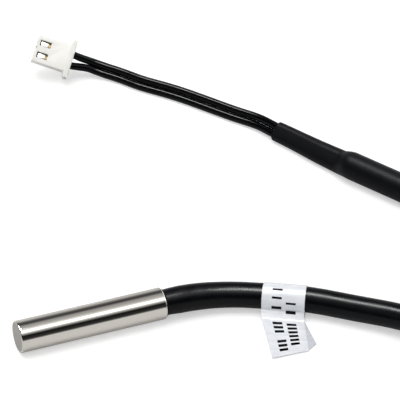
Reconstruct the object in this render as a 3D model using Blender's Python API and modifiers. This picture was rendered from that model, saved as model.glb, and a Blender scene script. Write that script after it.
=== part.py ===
"""Temperature probe: a steel capsule on a black two-core cable that ends in a white two-way crimp connector.

Everything lies on the floor, z = 0. The origin is under the middle of the capsule, which points along X
with its flat tip at -X and its cable at +X. Lengths are in millimetres times MM, so the scene is in metres.
"""
import math

import bmesh
import bpy
import numpy as np
from mathutils import Matrix, Vector

MM = 0.001

# Capsule: a drawn stainless tube with a flat closed end
CAPSULE_DIAMETER = 6.0 * MM
CAPSULE_LENGTH = 28.2 * MM
CAPSULE_WALL = 0.35 * MM
END_WALL = 0.5 * MM
TIP_EDGE_RADIUS = 0.35 * MM
LIP_RADIUS = 0.28 * MM
CAPSULE_SIDES = 48

# Cable and its two cores, whose sizes follow from the capsule's bore
MOUTH_GAP = 0.225 * MM
CORE_SHARE = 0.309
CONDUCTOR_SHARE = 0.467
JACKET_FROM_TIP = 20.4 * MM

# Sensing element
BEAD_DIAMETER = 2.4 * MM
BEAD_LENGTH = 4.0 * MM
BEAD_FROM_TIP = 0.85 * MM
BEAD_SHOULDER_SHARE = 0.62
BEAD_SHOULDER_LENGTH_SHARE = 0.35
LEAD_DIAMETER = 0.4 * MM
LEAD_OFFSET = 0.6 * MM
LEAD_LENGTH = 8.8 * MM
LEAD_SLEEVE_DIAMETER = 0.94 * MM
LEAD_SLEEVE_LENGTH = 4.0 * MM
LEAD_SLEEVE_FROM_BEAD = 0.45 * MM

# Crimped splices from the leads to the cores
SPLICE_FROM_BEAD = 7.4 * MM
SPLICE_GAP = 0.16 * MM
FERRULE_FIT = 0.08 * MM
FERRULE_WALL = 0.22 * MM
FERRULE_LENGTH = 3.0 * MM
SPLICE_SLEEVE_WALL = 0.2 * MM
SPLICE_SLEEVE_LENGTH = 5.4 * MM
SPLICE_SLEEVE_LEAD_IN = 0.5 * MM
CORE_FROM_FERRULE = 0.6 * MM
CONDUCTOR_PAST_MIDDLE = 0.1 * MM

# Clearances
FIT = 0.05 * MM
SEAT_GAP = 0.06 * MM
TOUCH_GAP = 0.3 * MM
FLOOR_GAP = 0.03 * MM
WIRE_GAP = 0.02 * MM

# Potting and the seal at the mouth
POTTING_FROM_MOUTH = 1.2 * MM
SEAL_LENGTH = 0.8 * MM
SEAL_RECESS = 0.25 * MM

# Coil of spare cable
COIL_CENTRE = Vector((88.3, -24.6, 0.0)) * MM
COIL_OUTER_RADIUS = 32.0 * MM
TURNS_WIDE = 3
TURNS_HIGH = 2
TURN_GAP = 0.05 * MM
COIL_SIDES = 64

# Ties round the coil
TIE_WIDTH = 4.0 * MM
TIE_THICKNESS = 0.7 * MM
TIE_ANGLES = (math.radians(20), math.radians(250))

# Label: a film strip round the cable, its ends stuck together as a flag
LABEL_WIDTH = 8.0 * MM
FILM = 0.15 * MM
LABEL_FIT = 0.08 * MM
BAND_LEAVES_AT = -28
CREASE = 0.55 * MM
CREASE_HEIGHT = 0.42 * MM
FLAG_CLEAR = 0.5 * MM
FLAG_LENGTH = 11.4 * MM
UPPER_FILM_END = ((15.5, -0.25), (12.3, 6.0))
UNDER_FILM_END = ((14.6, 0.3), (9.9, 7.1))

# Heat-shrink sleeve
SLEEVE_WALL = 0.26 * MM
SLEEVE_SIDES = 24
PAIR_ROLL = math.radians(50)

# Two-way connector, in its own frame: X from the mating face to the wires, Z out of the window face
PITCH = 2.5 * MM
HOUSING_LENGTH = 8.1 * MM
HOUSING_WIDTH = 5.6 * MM
HOUSING_THICKNESS = 4.4 * MM
HOUSING_EDGE = 0.15 * MM
EAR_REACH = 1.2 * MM
EAR_START = 6.75 * MM
EAR_RAMP = 0.45 * MM
EAR_REAR = 0.1 * MM
EAR_SINK = 0.5 * MM
EAR_THICKNESS = 3.0 * MM
CAVITY_SIDE_ROOM = 0.035 * MM
CAVITY_ROOM = 0.16 * MM
FRONT_WALL = 0.6 * MM
PIN_HOLE = 0.9 * MM
WINDOW_LENGTH = 2.3 * MM
WINDOW_WIDTH = 1.26 * MM
NOTCH_WIDTH = 0.7 * MM
NOTCH_DEPTH = 0.4 * MM
WIRE_CLEAR = 0.2 * MM
CONNECTOR_FRONT = Vector((20.75, 89.19, 6.2)) * MM
CONNECTOR_HEADING = math.radians(-29.05)
CONNECTOR_DIP = math.radians(16.77)
CONNECTOR_ROLL = math.radians(50.6)

# Crimp contact, in the connector's frame with Y = 0 on its own axis
CONTACT_WALL = 0.2 * MM
CONTACT_BOX_LENGTH = 2.9 * MM
CONTACT_SIDE_ROOM = 0.175 * MM
CONTACT_TOP_ROOM = 0.15 * MM
CONTACT_FLOOR_ROOM = 0.3 * MM
CONTACT_GAP = 0.1 * MM
LANCE_RISE = 0.75 * MM
STRIP_WIDTH = 0.9 * MM
POST_WIDTH = 0.4 * MM
BARREL_LENGTH = 1.2 * MM
BARREL_WALL = 0.16 * MM
BARREL_FIT = 0.03 * MM
CONDUCTOR_BARREL_START = 4.3 * MM
INSULATION_BARREL_START = 6.0 * MM

# Sizes that follow from the ones above
CAPSULE_RADIUS = CAPSULE_DIAMETER / 2
CAPSULE_BORE_RADIUS = CAPSULE_RADIUS - CAPSULE_WALL
CABLE_RADIUS = CAPSULE_BORE_RADIUS - MOUTH_GAP
CABLE_DIAMETER = 2 * CABLE_RADIUS
CORE_RADIUS = CABLE_RADIUS * CORE_SHARE
CONDUCTOR_RADIUS = CORE_RADIUS * CONDUCTOR_SHARE
CORE_BORE_RADIUS = CONDUCTOR_RADIUS + FIT
TIP_X = -CAPSULE_LENGTH / 2
AXIS_Z = CAPSULE_RADIUS
COIL_HALF_WIDTH = (TURNS_WIDE * CABLE_DIAMETER + (TURNS_WIDE - 1) * TURN_GAP) / 2
COIL_MIDDLE_RADIUS = COIL_OUTER_RADIUS - COIL_HALF_WIDTH
COIL_HEIGHT = TURNS_HIGH * CABLE_DIAMETER + (TURNS_HIGH - 1) * TURN_GAP
COIL_FLOOR = TIE_THICKNESS + TOUCH_GAP
LABEL_BORE_RADIUS = CABLE_RADIUS + LABEL_FIT
FLAG_ROOT = LABEL_BORE_RADIUS + FLAG_CLEAR
SLEEVE_JACKET_RADIUS = CABLE_RADIUS + SEAT_GAP + SLEEVE_WALL
PAIR_OFFSET = CORE_RADIUS + WIRE_GAP / 2
PAIR_RISE = PAIR_OFFSET * math.sin(PAIR_ROLL)
WINDOW_START = FRONT_WALL + CONTACT_GAP
FERRULE_BORE_RADIUS = CONDUCTOR_RADIUS + FERRULE_FIT
SPLICE_START = BEAD_FROM_TIP + BEAD_LENGTH + SPLICE_FROM_BEAD
SPLICE_SLEEVE_BORE_RADIUS = CORE_RADIUS + FIT
SPLICE_SLEEVE_RADIUS = SPLICE_SLEEVE_BORE_RADIUS + SPLICE_SLEEVE_WALL
SPLICE_OFFSET = SPLICE_SLEEVE_RADIUS + SPLICE_GAP / 2
SPLICE_SLEEVE_START = SPLICE_START - SPLICE_SLEEVE_LEAD_IN
CORE_START = SPLICE_START + FERRULE_LENGTH + CORE_FROM_FERRULE
CONDUCTOR_START = SPLICE_START + FERRULE_LENGTH / 2 + CONDUCTOR_PAST_MIDDLE
CORE_END = JACKET_FROM_TIP - SEAT_GAP
CORE_ROOM_RADIUS = CORE_RADIUS + FIT + FIT / 3
RUN_PIECE = 2.2 * CABLE_DIAMETER
CONDUCTOR_BARREL_BORE = CONDUCTOR_RADIUS + BARREL_FIT
INSULATION_BARREL_BORE = CORE_RADIUS + BARREL_FIT
CAVITY_WIDTH = 2 * (INSULATION_BARREL_BORE + BARREL_WALL + CAVITY_SIDE_ROOM)
CAVITY_HEIGHT = 2 * (INSULATION_BARREL_BORE + BARREL_WALL + CAVITY_ROOM)
CONTACT_BOX_WIDTH = CAVITY_WIDTH - 2 * CONTACT_SIDE_ROOM
CONTACT_BOX_TOP = CAVITY_HEIGHT / 2 - CONTACT_TOP_ROOM
CONTACT_BOX_LOW = CONTACT_FLOOR_ROOM - CAVITY_HEIGHT / 2

# Routes, in millimetres, as points that each curve passes through. The third number of a point is how far
# the underside of the cable, or of the lower wire, is off the floor there.
IN_CAPSULE = (AXIS_Z - CABLE_RADIUS) / MM
UNDER_LABEL = (LABEL_FIT + FILM + FLOOR_GAP) / MM
UNDER_SLEEVE = (SEAT_GAP + SLEEVE_WALL + FLOOR_GAP) / MM

PROBE_ROUTE = [
    [(TIP_X + JACKET_FROM_TIP) / MM, 0.0, IN_CAPSULE],
    [16.2, 0.0, IN_CAPSULE],
    [21.4, -0.4, 0.43],
    [25.1, -1.25, 0.33],
    [28.6, -2.55, 0.29],
    [31.6, -4.0, UNDER_LABEL],
    [40.1, -8.95, UNDER_LABEL],
    [45.8, -13.7, 0.29],
    [48.8, -16.4, 0.42],
    [54.6, -22.6, 0.82],
]
PROBE_VERTICES = (0, 1, 3, 5, 6, 8, 9)
LABEL_STRETCH = (5, 6)

CONNECTOR_END_ROUTE = [
    [79.9, 8.05, 4.17],
    [76.2, 11.4, 1.97],
    [72.9, 15.6, UNDER_SLEEVE],
    [65.9, 28.6, UNDER_SLEEVE],
]
CONNECTOR_END_VERTICES = (0, 1, 2, 3)

SLEEVE_ROUTE = [
    [57.4, 47.7],
    [60.0, 42.0],
    [62.15, 36.95],
    [64.3, 32.3],
    [65.72, 28.94],
    [72.69, 16.0],
]
SLEEVE_PIECES = (2, 2, 2, 4, 2)
SLEEVE_OVER_PAIR = (0.47, 0.57, 0.73, 0.87)

PAIR_ROUTE = [
    [31.0, 84.45, 1.17],
    [32.8, 83.3, 0.52],
    [34.45, 81.8, 0.17],
    [36.0, 80.0, 0.05],
    [38.8, 75.8, 0.04],
    [41.8, 72.2, 0.04],
    [44.8, 68.45, 0.04],
    [47.55, 64.5, 0.04],
    [50.3, 60.35, 0.04],
    [53.0, 56.35, 0.09],
    [55.65, 52.2, 0.27],
]


def start_scene():
    """Empty the scene and make one collection for the parts and one for the cutters."""
    for thing in list(bpy.data.objects):
        bpy.data.objects.remove(thing, do_unlink=True)
    parts = bpy.data.collections.new("temperature_probe")
    cutters = bpy.data.collections.new("cutters")
    for collection in (parts, cutters):
        bpy.context.scene.collection.children.link(collection)
    return parts, cutters


PARTS, CUTTERS = start_scene()


def make_material(name, colour, roughness, metallic=0.0):
    """A Principled material with one colour, roughness and metallic value."""
    material = bpy.data.materials.new(name)
    material.use_nodes = True
    shader = material.node_tree.nodes["Principled BSDF"]
    shader.inputs["Base Color"].default_value = (*colour, 1.0)
    shader.inputs["Roughness"].default_value = roughness
    shader.inputs["Metallic"].default_value = metallic
    material.diffuse_color = (*colour, 1.0)
    return material


STEEL = make_material("polished_steel", (0.72, 0.70, 0.67), 0.18, 1.0)
EPOXY = make_material("epoxy_resin", (0.12, 0.10, 0.08), 0.4)
GLASS_BEAD = make_material("bead_coating", (0.05, 0.05, 0.06), 0.3)
TINNED = make_material("tinned_copper", (0.80, 0.78, 0.74), 0.3, 1.0)
TUBING = make_material("insulating_tubing", (0.85, 0.84, 0.78), 0.5)
COPPER = make_material("stranded_copper", (0.72, 0.38, 0.22), 0.35, 1.0)
BLACK_PVC = make_material("black_pvc", (0.012, 0.012, 0.013), 0.35)
BLACK_SILICONE = make_material("black_silicone", (0.02, 0.02, 0.02), 0.6)
HEAT_SHRINK = make_material("heat_shrink_tubing", (0.02, 0.02, 0.021), 0.65)
FILM_WHITE = make_material("white_film", (0.80, 0.82, 0.84), 0.35)
TIE_BLACK = make_material("tie_plastic", (0.03, 0.03, 0.03), 0.5)
NYLON = make_material("white_nylon", (0.88, 0.88, 0.85), 0.4)
BRASS = make_material("brass_strip", (0.62, 0.46, 0.26), 0.35, 1.0)


def add_part(name, data, material, matrix=None):
    """Link a named part to its collection, with its material and place."""
    thing = bpy.data.objects.new(name, data)
    if len(data.materials) == 0:
        data.materials.append(material)
    PARTS.objects.link(thing)
    if matrix is not None:
        thing.matrix_world = matrix
    return thing


def add_cutter(name, mesh, matrix=None):
    """Link a hidden cutter."""
    thing = bpy.data.objects.new(name, mesh)
    thing.hide_render = True
    thing.display_type = "WIRE"
    CUTTERS.objects.link(thing)
    if matrix is not None:
        thing.matrix_world = matrix
    return thing


def along_x(x, y=0.0, z=AXIS_Z):
    """Place a piece turned about its own Z so that it points along X from this point."""
    return Matrix.Translation((x, y, z)) @ Matrix.Rotation(math.radians(90), 4, "Y")


def profile_mesh(name, profile, closed):
    """A line of (radius, height) points in the XZ plane, for a Screw modifier to turn."""
    mesh = bpy.data.meshes.new(name)
    shape = bmesh.new()
    points = [shape.verts.new((radius, 0.0, height)) for radius, height in profile]
    for start, end in zip(points, points[1:]):
        shape.edges.new((start, end))
    if closed:
        shape.edges.new((points[-1], points[0]))
    shape.to_mesh(mesh)
    shape.free()
    return mesh


def turn(name, profile, material, matrix, sides=24, closed=False):
    """A turned part: its profile runs down the outer side, from top to bottom."""
    thing = add_part(name, profile_mesh(name, profile, closed), material, matrix)
    screw = thing.modifiers.new("turn", "SCREW")
    screw.steps = sides
    screw.render_steps = sides
    screw.use_merge_vertices = True
    screw.merge_threshold = 0.001 * MM
    screw.use_smooth_shade = True
    weld = thing.modifiers.new("close_poles", "WELD")
    weld.merge_threshold = 0.001 * MM
    return thing


def ring_profile(outer, bore, length, low=0.0):
    """A plain tube's section as a closed loop."""
    return [(outer, low + length), (outer, low), (bore, low), (bore, low + length)]


def quarter(centre_radius, centre_height, radius, start, end, steps=4):
    """Points along an arc of a profile, angles in degrees from +radius towards +height."""
    angles = np.radians(np.linspace(start, end, steps + 1))
    return [(centre_radius + radius * math.cos(a), centre_height + radius * math.sin(a)) for a in angles]


def rod_mesh(name, radius, length, sides=24):
    """A plain round rod from z = 0 to its length."""
    mesh = bpy.data.meshes.new(name)
    shape = bmesh.new()
    bmesh.ops.create_cone(shape, cap_ends=True, segments=sides, radius1=radius, radius2=radius, depth=length,
                          matrix=Matrix.Translation((0.0, 0.0, length / 2)))
    shape.to_mesh(mesh)
    shape.free()
    return mesh


def box_mesh(name, low, high):
    """A box between two corners."""
    mesh = bpy.data.meshes.new(name)
    shape = bmesh.new()
    low, high = Vector(low), Vector(high)
    size = high - low
    place = Matrix.Translation((low + high) / 2) @ Matrix.Diagonal((*size, 1.0))
    bmesh.ops.create_cube(shape, size=1.0, matrix=place)
    shape.to_mesh(mesh)
    shape.free()
    return mesh


def poly_curve(name, points, radius, resolution):
    """A round tube along these points, with filled ends."""
    curve = bpy.data.curves.new(name, "CURVE")
    curve.dimensions = "3D"
    curve.bevel_depth = radius
    curve.bevel_resolution = resolution
    curve.use_fill_caps = True
    spline = curve.splines.new("POLY")
    spline.points.add(len(points) - 1)
    for slot, point in zip(spline.points, points):
        slot.co = (*point, 1.0)
    return curve


def outline_curve(name, outlines, thickness):
    """A flat sheet from closed outlines in the XY plane, the inner ones being holes."""
    curve = bpy.data.curves.new(name, "CURVE")
    curve.dimensions = "2D"
    curve.fill_mode = "BOTH"
    curve.extrude = thickness / 2
    for outline in outlines:
        spline = curve.splines.new("POLY")
        spline.points.add(len(outline) - 1)
        for slot, (x, y) in zip(spline.points, outline):
            slot.co = (x, y, 0.0, 1.0)
        spline.use_cyclic_u = True
    return curve


def plain_mesh(name, data):
    """Turn a curve, or an object with modifiers, into a welded mesh."""
    thing = data
    if not isinstance(data, bpy.types.Object):
        thing = bpy.data.objects.new(name, data)
        CUTTERS.objects.link(thing)
    bpy.context.view_layer.update()
    evaluated = thing.evaluated_get(bpy.context.evaluated_depsgraph_get())
    mesh = bpy.data.meshes.new_from_object(evaluated)
    mesh.name = name
    bpy.data.objects.remove(thing, do_unlink=True)
    shape = bmesh.new()
    shape.from_mesh(mesh)
    bmesh.ops.remove_doubles(shape, verts=shape.verts, dist=0.001 * MM)
    shape.to_mesh(mesh)
    shape.free()
    return mesh


def combine(thing, operation, cutter):
    """Add one exact Boolean step."""
    step = thing.modifiers.new(cutter.name, "BOOLEAN")
    step.operation = operation
    step.solver = "EXACT"
    step.object = cutter


def smooth_curve(points, at):
    """A natural cubic curve through the points, read at these fractions of a point number."""
    points = np.asarray(points, float)
    count = len(points)
    knots = np.concatenate([[0.0], np.cumsum(np.linalg.norm(np.diff(points, axis=0), axis=1))])
    gaps = np.diff(knots)
    system = np.eye(count)
    right = np.zeros_like(points)
    for i in range(1, count - 1):
        system[i, i - 1] = gaps[i - 1]
        system[i, i] = 2 * (gaps[i - 1] + gaps[i])
        system[i, i + 1] = gaps[i]
        right[i] = 6 * ((points[i + 1] - points[i]) / gaps[i] - (points[i] - points[i - 1]) / gaps[i - 1])
    bend = np.linalg.solve(system, right)
    found = []
    for number in at:
        i = min(int(number), count - 2)
        gap = gaps[i]
        b = (number - i) * gap
        a = gap - b
        bent = (bend[i] * a ** 3 + bend[i + 1] * b ** 3) / (6 * gap)
        before = (points[i] / gap - bend[i] * gap / 6) * a
        after = (points[i + 1] / gap - bend[i + 1] * gap / 6) * b
        found.append(bent + before + after)
    return np.array(found)


def lie(route, rise):
    """A route's centreline, in metres, where its centre is this much above its underside."""
    return [Vector((x, y, lift)) * MM + Vector((0.0, 0.0, rise)) for x, y, lift in route]


def tube_points(route, vertices, spacing):
    """Points of a tube along a smooth route: one at each numbered route point and evenly between them."""
    places = np.array([tuple(point) for point in lie(route, CABLE_RADIUS)])
    numbers = []
    for start, end in zip(vertices, vertices[1:]):
        length = np.linalg.norm(np.diff(places[start:end + 1], axis=0), axis=1).sum()
        pieces = max(1, round(length / spacing))
        numbers.extend(start + (end - start) * k / pieces for k in range(pieces))
    numbers.append(vertices[-1])
    return [Vector(point) for point in smooth_curve(places, numbers)]


def ease(x):
    """Smooth step from 0 to 1."""
    x = min(max(x, 0.0), 1.0)
    return x * x * (3 - 2 * x)


def make_capsule():
    """The capsule: inner floor, bore, rounded lip, outer wall and the flat tip with its small edge radius."""
    lip = quarter(CAPSULE_RADIUS - LIP_RADIUS, CAPSULE_LENGTH - LIP_RADIUS, LIP_RADIUS, 90, 0)
    tip = quarter(CAPSULE_RADIUS - TIP_EDGE_RADIUS, TIP_EDGE_RADIUS, TIP_EDGE_RADIUS, 0, -90)
    profile = [(0.0, END_WALL), (CAPSULE_BORE_RADIUS, END_WALL), (CAPSULE_BORE_RADIUS, CAPSULE_LENGTH)]
    profile += lip + tip + [(0.0, 0.0)]
    turn("sensor_capsule", profile, STEEL, along_x(TIP_X), CAPSULE_SIDES)


def bead_profile(grow=0.0):
    """A round-nosed bead: a half ball, a short barrel and a shoulder that narrows to the leads."""
    radius = BEAD_DIAMETER / 2 + grow
    low, high = -grow, BEAD_LENGTH + grow
    shoulder = radius * BEAD_SHOULDER_SHARE
    narrows_from = high - BEAD_SHOULDER_LENGTH_SHARE * BEAD_LENGTH
    return ([(0.0, high), (shoulder, high), (radius, narrows_from), (radius, radius + low)]
            + quarter(0.0, radius + low, radius, -18, -90, 4)[:-1] + [(0.0, low)])


def sides_of(offset):
    """The two mirrored places of a paired piece."""
    return ((1, offset), (2, -offset))


def lead_points(sign_offset, early=0.0):
    """A thermistor lead: straight through its sleeve, then out to the splice. Its room starts early."""
    side = math.copysign(1.0, sign_offset)
    start = BEAD_FROM_TIP + BEAD_LENGTH + SEAT_GAP
    spread_from = start + LEAD_SLEEVE_FROM_BEAD + LEAD_SLEEVE_LENGTH + FIT
    spread_to = SPLICE_START
    steps = [start - early, spread_from]
    steps += [spread_from + (spread_to - spread_from) * k / 4 for k in range(1, 5)]
    points = []
    for step in steps:
        share = ease((step - spread_from) / (spread_to - spread_from))
        offset = LEAD_OFFSET + (SPLICE_OFFSET - LEAD_OFFSET) * share
        points.append(Vector((TIP_X + step, side * offset, AXIS_Z)))
    points.append(Vector((TIP_X + start + LEAD_LENGTH, side * SPLICE_OFFSET, AXIS_Z)))
    return points


def make_sensing_end():
    """The bead, its sleeved leads, the crimped splices and the ends of the cores, in a row along the axis."""
    turn("thermistor_bead", bead_profile(), GLASS_BEAD, along_x(TIP_X + BEAD_FROM_TIP))
    sleeve_start = BEAD_FROM_TIP + BEAD_LENGTH + LEAD_SLEEVE_FROM_BEAD
    for number, y in sides_of(LEAD_OFFSET):
        curve = poly_curve(f"thermistor_lead_{number}", lead_points(y), LEAD_DIAMETER / 2, 2)
        add_part(f"thermistor_lead_{number}", curve, TINNED)
        profile = ring_profile(LEAD_SLEEVE_DIAMETER / 2, LEAD_DIAMETER / 2 + FIT, LEAD_SLEEVE_LENGTH)
        turn(f"lead_sleeve_{number}", profile, TUBING, along_x(TIP_X + sleeve_start, y), 16, closed=True)
    for number, y in sides_of(SPLICE_OFFSET):
        profile = ring_profile(FERRULE_BORE_RADIUS + FERRULE_WALL, FERRULE_BORE_RADIUS, FERRULE_LENGTH)
        turn(f"splice_ferrule_{number}", profile, TINNED, along_x(TIP_X + SPLICE_START, y), 20, closed=True)
        profile = ring_profile(SPLICE_SLEEVE_RADIUS, SPLICE_SLEEVE_BORE_RADIUS, SPLICE_SLEEVE_LENGTH)
        place = along_x(TIP_X + SPLICE_SLEEVE_START, y)
        turn(f"splice_sleeve_{number}", profile, TUBING, place, 24, closed=True)
        profile = ring_profile(CORE_RADIUS, CORE_BORE_RADIUS, CORE_END - CORE_START)
        turn(f"probe_core_{number}", profile, BLACK_PVC, along_x(TIP_X + CORE_START, y), 20, closed=True)
        rod = rod_mesh(f"probe_conductor_{number}", CONDUCTOR_RADIUS, CORE_END - CONDUCTOR_START, 12)
        add_part(f"probe_conductor_{number}", rod, COPPER, along_x(TIP_X + CONDUCTOR_START, y))


def make_potting():
    """The resin that fills the capsule, cut back round everything that it holds."""
    start = END_WALL + SEAT_GAP
    length = CAPSULE_LENGTH - POTTING_FROM_MOUTH - start
    rod = rod_mesh("potting_fill", CAPSULE_BORE_RADIUS - FIT, length, CAPSULE_SIDES)
    potting = add_part("potting_fill", rod, EPOXY, along_x(TIP_X + start))
    grown = turn("bead_room", bead_profile(FIT), EPOXY, along_x(TIP_X + BEAD_FROM_TIP))
    bead_place = grown.matrix_world.copy()
    combine(potting, "DIFFERENCE", add_cutter("bead_room", plain_mesh("bead_room", grown), bead_place))
    sleeve_start = BEAD_FROM_TIP + BEAD_LENGTH + LEAD_SLEEVE_FROM_BEAD - SEAT_GAP
    sleeve_end = sleeve_start + LEAD_SLEEVE_LENGTH + 2 * SEAT_GAP
    splice_end = SPLICE_SLEEVE_START + SPLICE_SLEEVE_LENGTH + SEAT_GAP
    for number, y in sides_of(LEAD_OFFSET):
        room = poly_curve(f"lead_room_{number}", lead_points(y, 4 * SEAT_GAP), LEAD_DIAMETER / 2 + FIT, 2)
        lead = plain_mesh(f"lead_room_{number}", room)
        combine(potting, "DIFFERENCE", add_cutter(f"lead_room_{number}", lead))
        radius = LEAD_SLEEVE_DIAMETER / 2 + FIT
        rod = rod_mesh(f"lead_sleeve_room_{number}", radius, sleeve_end - sleeve_start, 16)
        place = along_x(TIP_X + sleeve_start, y)
        combine(potting, "DIFFERENCE", add_cutter(f"lead_sleeve_room_{number}", rod, place))
    for number, y in sides_of(SPLICE_OFFSET):
        length = splice_end - SPLICE_SLEEVE_START + SEAT_GAP
        rod = rod_mesh(f"splice_room_{number}", SPLICE_SLEEVE_RADIUS + FIT, length)
        place = along_x(TIP_X + SPLICE_SLEEVE_START - SEAT_GAP, y)
        combine(potting, "DIFFERENCE", add_cutter(f"splice_room_{number}", rod, place))
        length = JACKET_FROM_TIP - splice_end + SEAT_GAP
        rod = rod_mesh(f"core_room_{number}", CORE_ROOM_RADIUS, length, 20)
        place = along_x(TIP_X + splice_end - SEAT_GAP, y)
        combine(potting, "DIFFERENCE", add_cutter(f"core_room_{number}", rod, place))
    rod = rod_mesh("jacket_room", CABLE_RADIUS + FIT, CAPSULE_LENGTH - JACKET_FROM_TIP, 32)
    place = along_x(TIP_X + JACKET_FROM_TIP - SEAT_GAP)
    combine(potting, "DIFFERENCE", add_cutter("jacket_room", rod, place))


def make_mouth_seal():
    """The thin black ring between the lip and the jacket."""
    low = CAPSULE_LENGTH - SEAL_RECESS - SEAL_LENGTH
    profile = ring_profile(CAPSULE_BORE_RADIUS - FIT, CABLE_RADIUS + FIT, SEAL_LENGTH, low)
    turn("mouth_seal", profile, BLACK_SILICONE, along_x(TIP_X), 32, closed=True)


def make_cable():
    """The cable: a run from the capsule, the coil of spare length and a run into the heat-shrink sleeve."""
    probe = tube_points(PROBE_ROUTE, PROBE_VERTICES, RUN_PIECE)
    add_part("cable_run_probe", poly_curve("cable_run_probe", probe, CABLE_RADIUS, 4), BLACK_PVC)
    back = tube_points(CONNECTOR_END_ROUTE, CONNECTOR_END_VERTICES, RUN_PIECE)
    add_part("cable_run_connector", poly_curve("cable_run_connector", back, CABLE_RADIUS, 4), BLACK_PVC)
    inner = COIL_MIDDLE_RADIUS - COIL_HALF_WIDTH
    outer = COIL_MIDDLE_RADIUS + COIL_HALF_WIDTH
    low, high = COIL_FLOOR, COIL_FLOOR + COIL_HEIGHT
    round_edge = CABLE_RADIUS
    profile = (quarter(outer - round_edge, high - round_edge, round_edge, 90, 0)
               + quarter(outer - round_edge, low + round_edge, round_edge, 0, -90)
               + quarter(inner + round_edge, low + round_edge, round_edge, -90, -180)
               + quarter(inner + round_edge, high - round_edge, round_edge, 180, 90))
    turn("cable_coil", profile, BLACK_PVC, Matrix.Translation(COIL_CENTRE), COIL_SIDES, closed=True)


def rounded_rectangle(half_width, half_height, radius, steps=4):
    """An outline with round corners, anticlockwise."""
    corners = ((1, 1, 0), (-1, 1, 90), (-1, -1, 180), (1, -1, 270))
    points = []
    for x_side, y_side, start in corners:
        points += quarter(x_side * (half_width - radius), y_side * (half_height - radius), radius,
                          start, start + 90, steps)
    return points


def make_ties():
    """Two flat ties round the coil's bundle of turns."""
    half_width = COIL_HALF_WIDTH + TOUCH_GAP / 2
    half_height = COIL_HEIGHT / 2 + TOUCH_GAP / 2
    bore = rounded_rectangle(half_width, half_height, CABLE_RADIUS)
    outside = rounded_rectangle(half_width + TIE_THICKNESS, half_height + TIE_THICKNESS,
                                CABLE_RADIUS + TIE_THICKNESS)
    height = COIL_FLOOR + COIL_HEIGHT / 2
    for number, angle in enumerate(TIE_ANGLES, 1):
        curve = outline_curve(f"coil_tie_{number}", [outside, bore], TIE_WIDTH)
        turned = Matrix.Rotation(angle, 4, "Z") @ Matrix.Translation((COIL_MIDDLE_RADIUS, 0.0, 0.0))
        centre = Matrix.Translation(COIL_CENTRE + Vector((0.0, 0.0, height)))
        place = centre @ turned @ Matrix.Rotation(math.radians(90), 4, "X")
        add_part(f"coil_tie_{number}", plain_mesh(f"coil_tie_{number}", curve), TIE_BLACK, place)


def label_section():
    """The label's section across the cable: a band all round it, closing to a double flag on the floor."""
    inner, outer = LABEL_BORE_RADIUS, LABEL_BORE_RADIUS + FILM
    flag_top = 2 * FILM - outer
    end = FLAG_ROOT + FLAG_LENGTH
    joint = FLAG_ROOT + CREASE
    outside = quarter(0.0, 0.0, outer, BAND_LEAVES_AT, 270, 30)
    outside += [(step * end, -outer) for step in (0.25, 0.4, 0.6, 0.8, 1.0)]
    outside += [(step * end, flag_top) for step in (1.0, 0.8, 0.6, 0.4)]
    outside += [(joint + CREASE / 2, flag_top), (joint - CREASE / 2, flag_top + CREASE_HEIGHT)]
    bore = quarter(0.0, 0.0, inner, BAND_LEAVES_AT, 268, 30)
    bore += [(FLAG_ROOT - CREASE, FILM - outer), (joint - CREASE, flag_top + CREASE_HEIGHT / 3)]
    return [outside, bore]


def turn_flag(mesh):
    """Turn the flag in plan: the upper film ends at a slanted edge, the under film a little behind it."""
    for vertex in mesh.vertices:
        x, y, z = vertex.co
        if x > FLAG_ROOT and y < 0.0:
            near, far = UNDER_FILM_END if y < -LABEL_BORE_RADIUS else UPPER_FILM_END
            side = 0.5 - z / LABEL_WIDTH
            share = (x - FLAG_ROOT) / FLAG_LENGTH
            end = [(near[i] + (far[i] - near[i]) * side) * MM for i in range(2)]
            vertex.co.x = FLAG_ROOT + (end[0] - FLAG_ROOT) * share
            vertex.co.z = z * (1 - share) - end[1] * share


def make_label():
    """The label stands square to the cable, and its flag is turned a little in plan."""
    route = lie(PROBE_ROUTE, CABLE_RADIUS)
    start, end = (route[i] for i in LABEL_STRETCH)
    along = (end - start).normalized()
    towards = Vector((along.y, -along.x, 0.0))
    place = Matrix((
        (towards.x, 0.0, -along.x, (start.x + end.x) / 2),
        (towards.y, 0.0, -along.y, (start.y + end.y) / 2),
        (0.0, 1.0, 0.0, (start.z + end.z) / 2),
        (0.0, 0.0, 0.0, 1.0),
    ))
    mesh = plain_mesh("cable_label", outline_curve("cable_label", label_section(), LABEL_WIDTH))
    turn_flag(mesh)
    add_part("cable_label", mesh, FILM_WHITE, place)


def across(tangent):
    """The direction from one wire of the pair to the other: across the run, turned up out of the floor."""
    level = Vector((-tangent.y, tangent.x, 0.0)).normalized()
    up = tangent.cross(level)
    return level * math.cos(PAIR_ROLL) + up * math.sin(PAIR_ROLL)


def tangents(points):
    """The direction at each point of a run, halfway between the pieces that meet there."""
    pieces = [(b - a).normalized() for a, b in zip(points, points[1:])]
    middle = [(a + b).normalized() for a, b in zip(pieces, pieces[1:])]
    return [pieces[0]] + middle + [pieces[-1]]


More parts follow.
